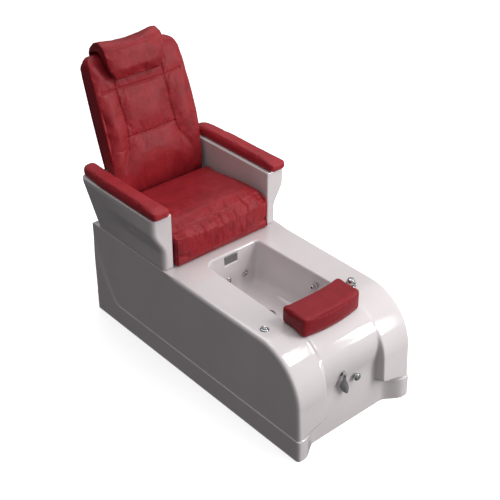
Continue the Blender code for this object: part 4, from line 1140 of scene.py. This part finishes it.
def softbox(name, direction, distance, width, height, radiance, seen=True):
    """A light aimed at the chair; the seen ones stand square to X, so they mirror upright."""
    light = bpy.data.lights.new(name, "AREA")
    adjust(light, shape="RECTANGLE", size=width, size_y=height,
           energy=radiance * math.pi * width * height)
    obj = linked(name, light)
    aim = Vector(direction).normalized()
    obj.location = LIT_POINT + aim * distance
    obj.visible_glossy = seen
    obj.rotation_mode = "QUATERNION"
    facing = Vector((0, aim.y, aim.z)) if seen else aim
    obj.rotation_quaternion = facing.to_track_quat("Z", "Y")


def make_studio():
    scene = bpy.context.scene
    scene.view_settings.view_transform = "Standard"
    world = bpy.data.worlds.new("studio")
    scene.world = world
    world.use_nodes = True
    tree = world.node_tree
    tree.nodes.clear()
    coords = node(tree, "ShaderNodeTexCoord").outputs["Generated"]
    towards = node(tree, "ShaderNodeVectorMath", {0: coords, 1: (0.62, -0.42, 0.66)},
                   operation="DOT_PRODUCT").outputs["Value"]
    shade = ramp(tree, spread(tree, towards, 0.0, 1.0, -1.0, 1.0), [
        (0.22, (0.075, 0.073, 0.076)), (0.5, (0.17, 0.168, 0.17)), (0.85, (0.6, 0.6, 0.6))])
    sky = node(tree, "ShaderNodeBackground", {"Color": shade, "Strength": 1.0})
    out = node(tree, "ShaderNodeOutputWorld")
    tree.links.new(sky.outputs["Background"], out.inputs["Surface"])
    softbox("key", (0.49, -0.49, 0.721), 5.92, 0.22, 2.2, 38.0)
    softbox("window", (0.59, -0.74, 0.325), 6.46, 0.34, 2.8, 30.0)
    softbox("soft", (0.5, -0.45, 0.74), 6.0, 3.0, 3.0, 2.8, seen=False)
    softbox("front", (0.55, -0.83, 0.13), 3.0, 2.3, 1.4, 2.9, seen=False)
    softbox("left", (-0.55, -0.15, 0.82), 5.0, 2.5, 2.5, 1.1, seen=False)
    softbox("overhead", (0.2, 0.4, 1.0), 5.0, 3.8, 3.8, 1.45)

    floor = bpy.data.meshes.new("floor")
    signs = ((-1, -1), (1, -1), (1, 1), (-1, 1))
    corners = [(FLOOR_REACH * x, FLOOR_REACH * y, 0) for x, y in signs]
    floor.from_pydata(corners, [], [(0, 1, 2, 3)])
    tree, coords, material = new_material(
        "pale_floor", Roughness=0.9, Specular_IOR_Level=0.1, Emission_Color=(1, 1, 1, 1),
        Emission_Strength=0.62)
    tone = ramp(tree, noise_of(tree, coords, 0.8, 3.0),
                [(0.3, (0.93, 0.93, 0.93)), (0.7, (0.95, 0.95, 0.95))])
    floor.materials.append(finished(material, tone))
    obj = linked("floor", floor)
    obj.visible_diffuse = obj.visible_glossy = False


def make_camera():
    flat = math.cos(CAMERA_ELEVATION)
    back = Vector((math.sin(CAMERA_AZIMUTH) * flat, -math.cos(CAMERA_AZIMUTH) * flat,
                   math.sin(CAMERA_ELEVATION)))
    data = bpy.data.cameras.new("camera")
    adjust(data, lens=CAMERA_LENS, sensor_width=SENSOR_WIDTH, clip_end=3.75 * FLOOR_REACH)
    camera = linked("camera", data)
    camera.location = CAMERA_AT
    camera.rotation_mode = "QUATERNION"
    camera.rotation_quaternion = back.to_track_quat("Z", "Y")
    bpy.context.scene.camera = camera


make_camera()
make_studio()
dress_frame_nodes()
make_shell()
make_arms()
make_trim(make_cushions())
make_deck_fittings()
make_front_fittings()
make_basin_fittings()
make_wall_plate()
make_feet()
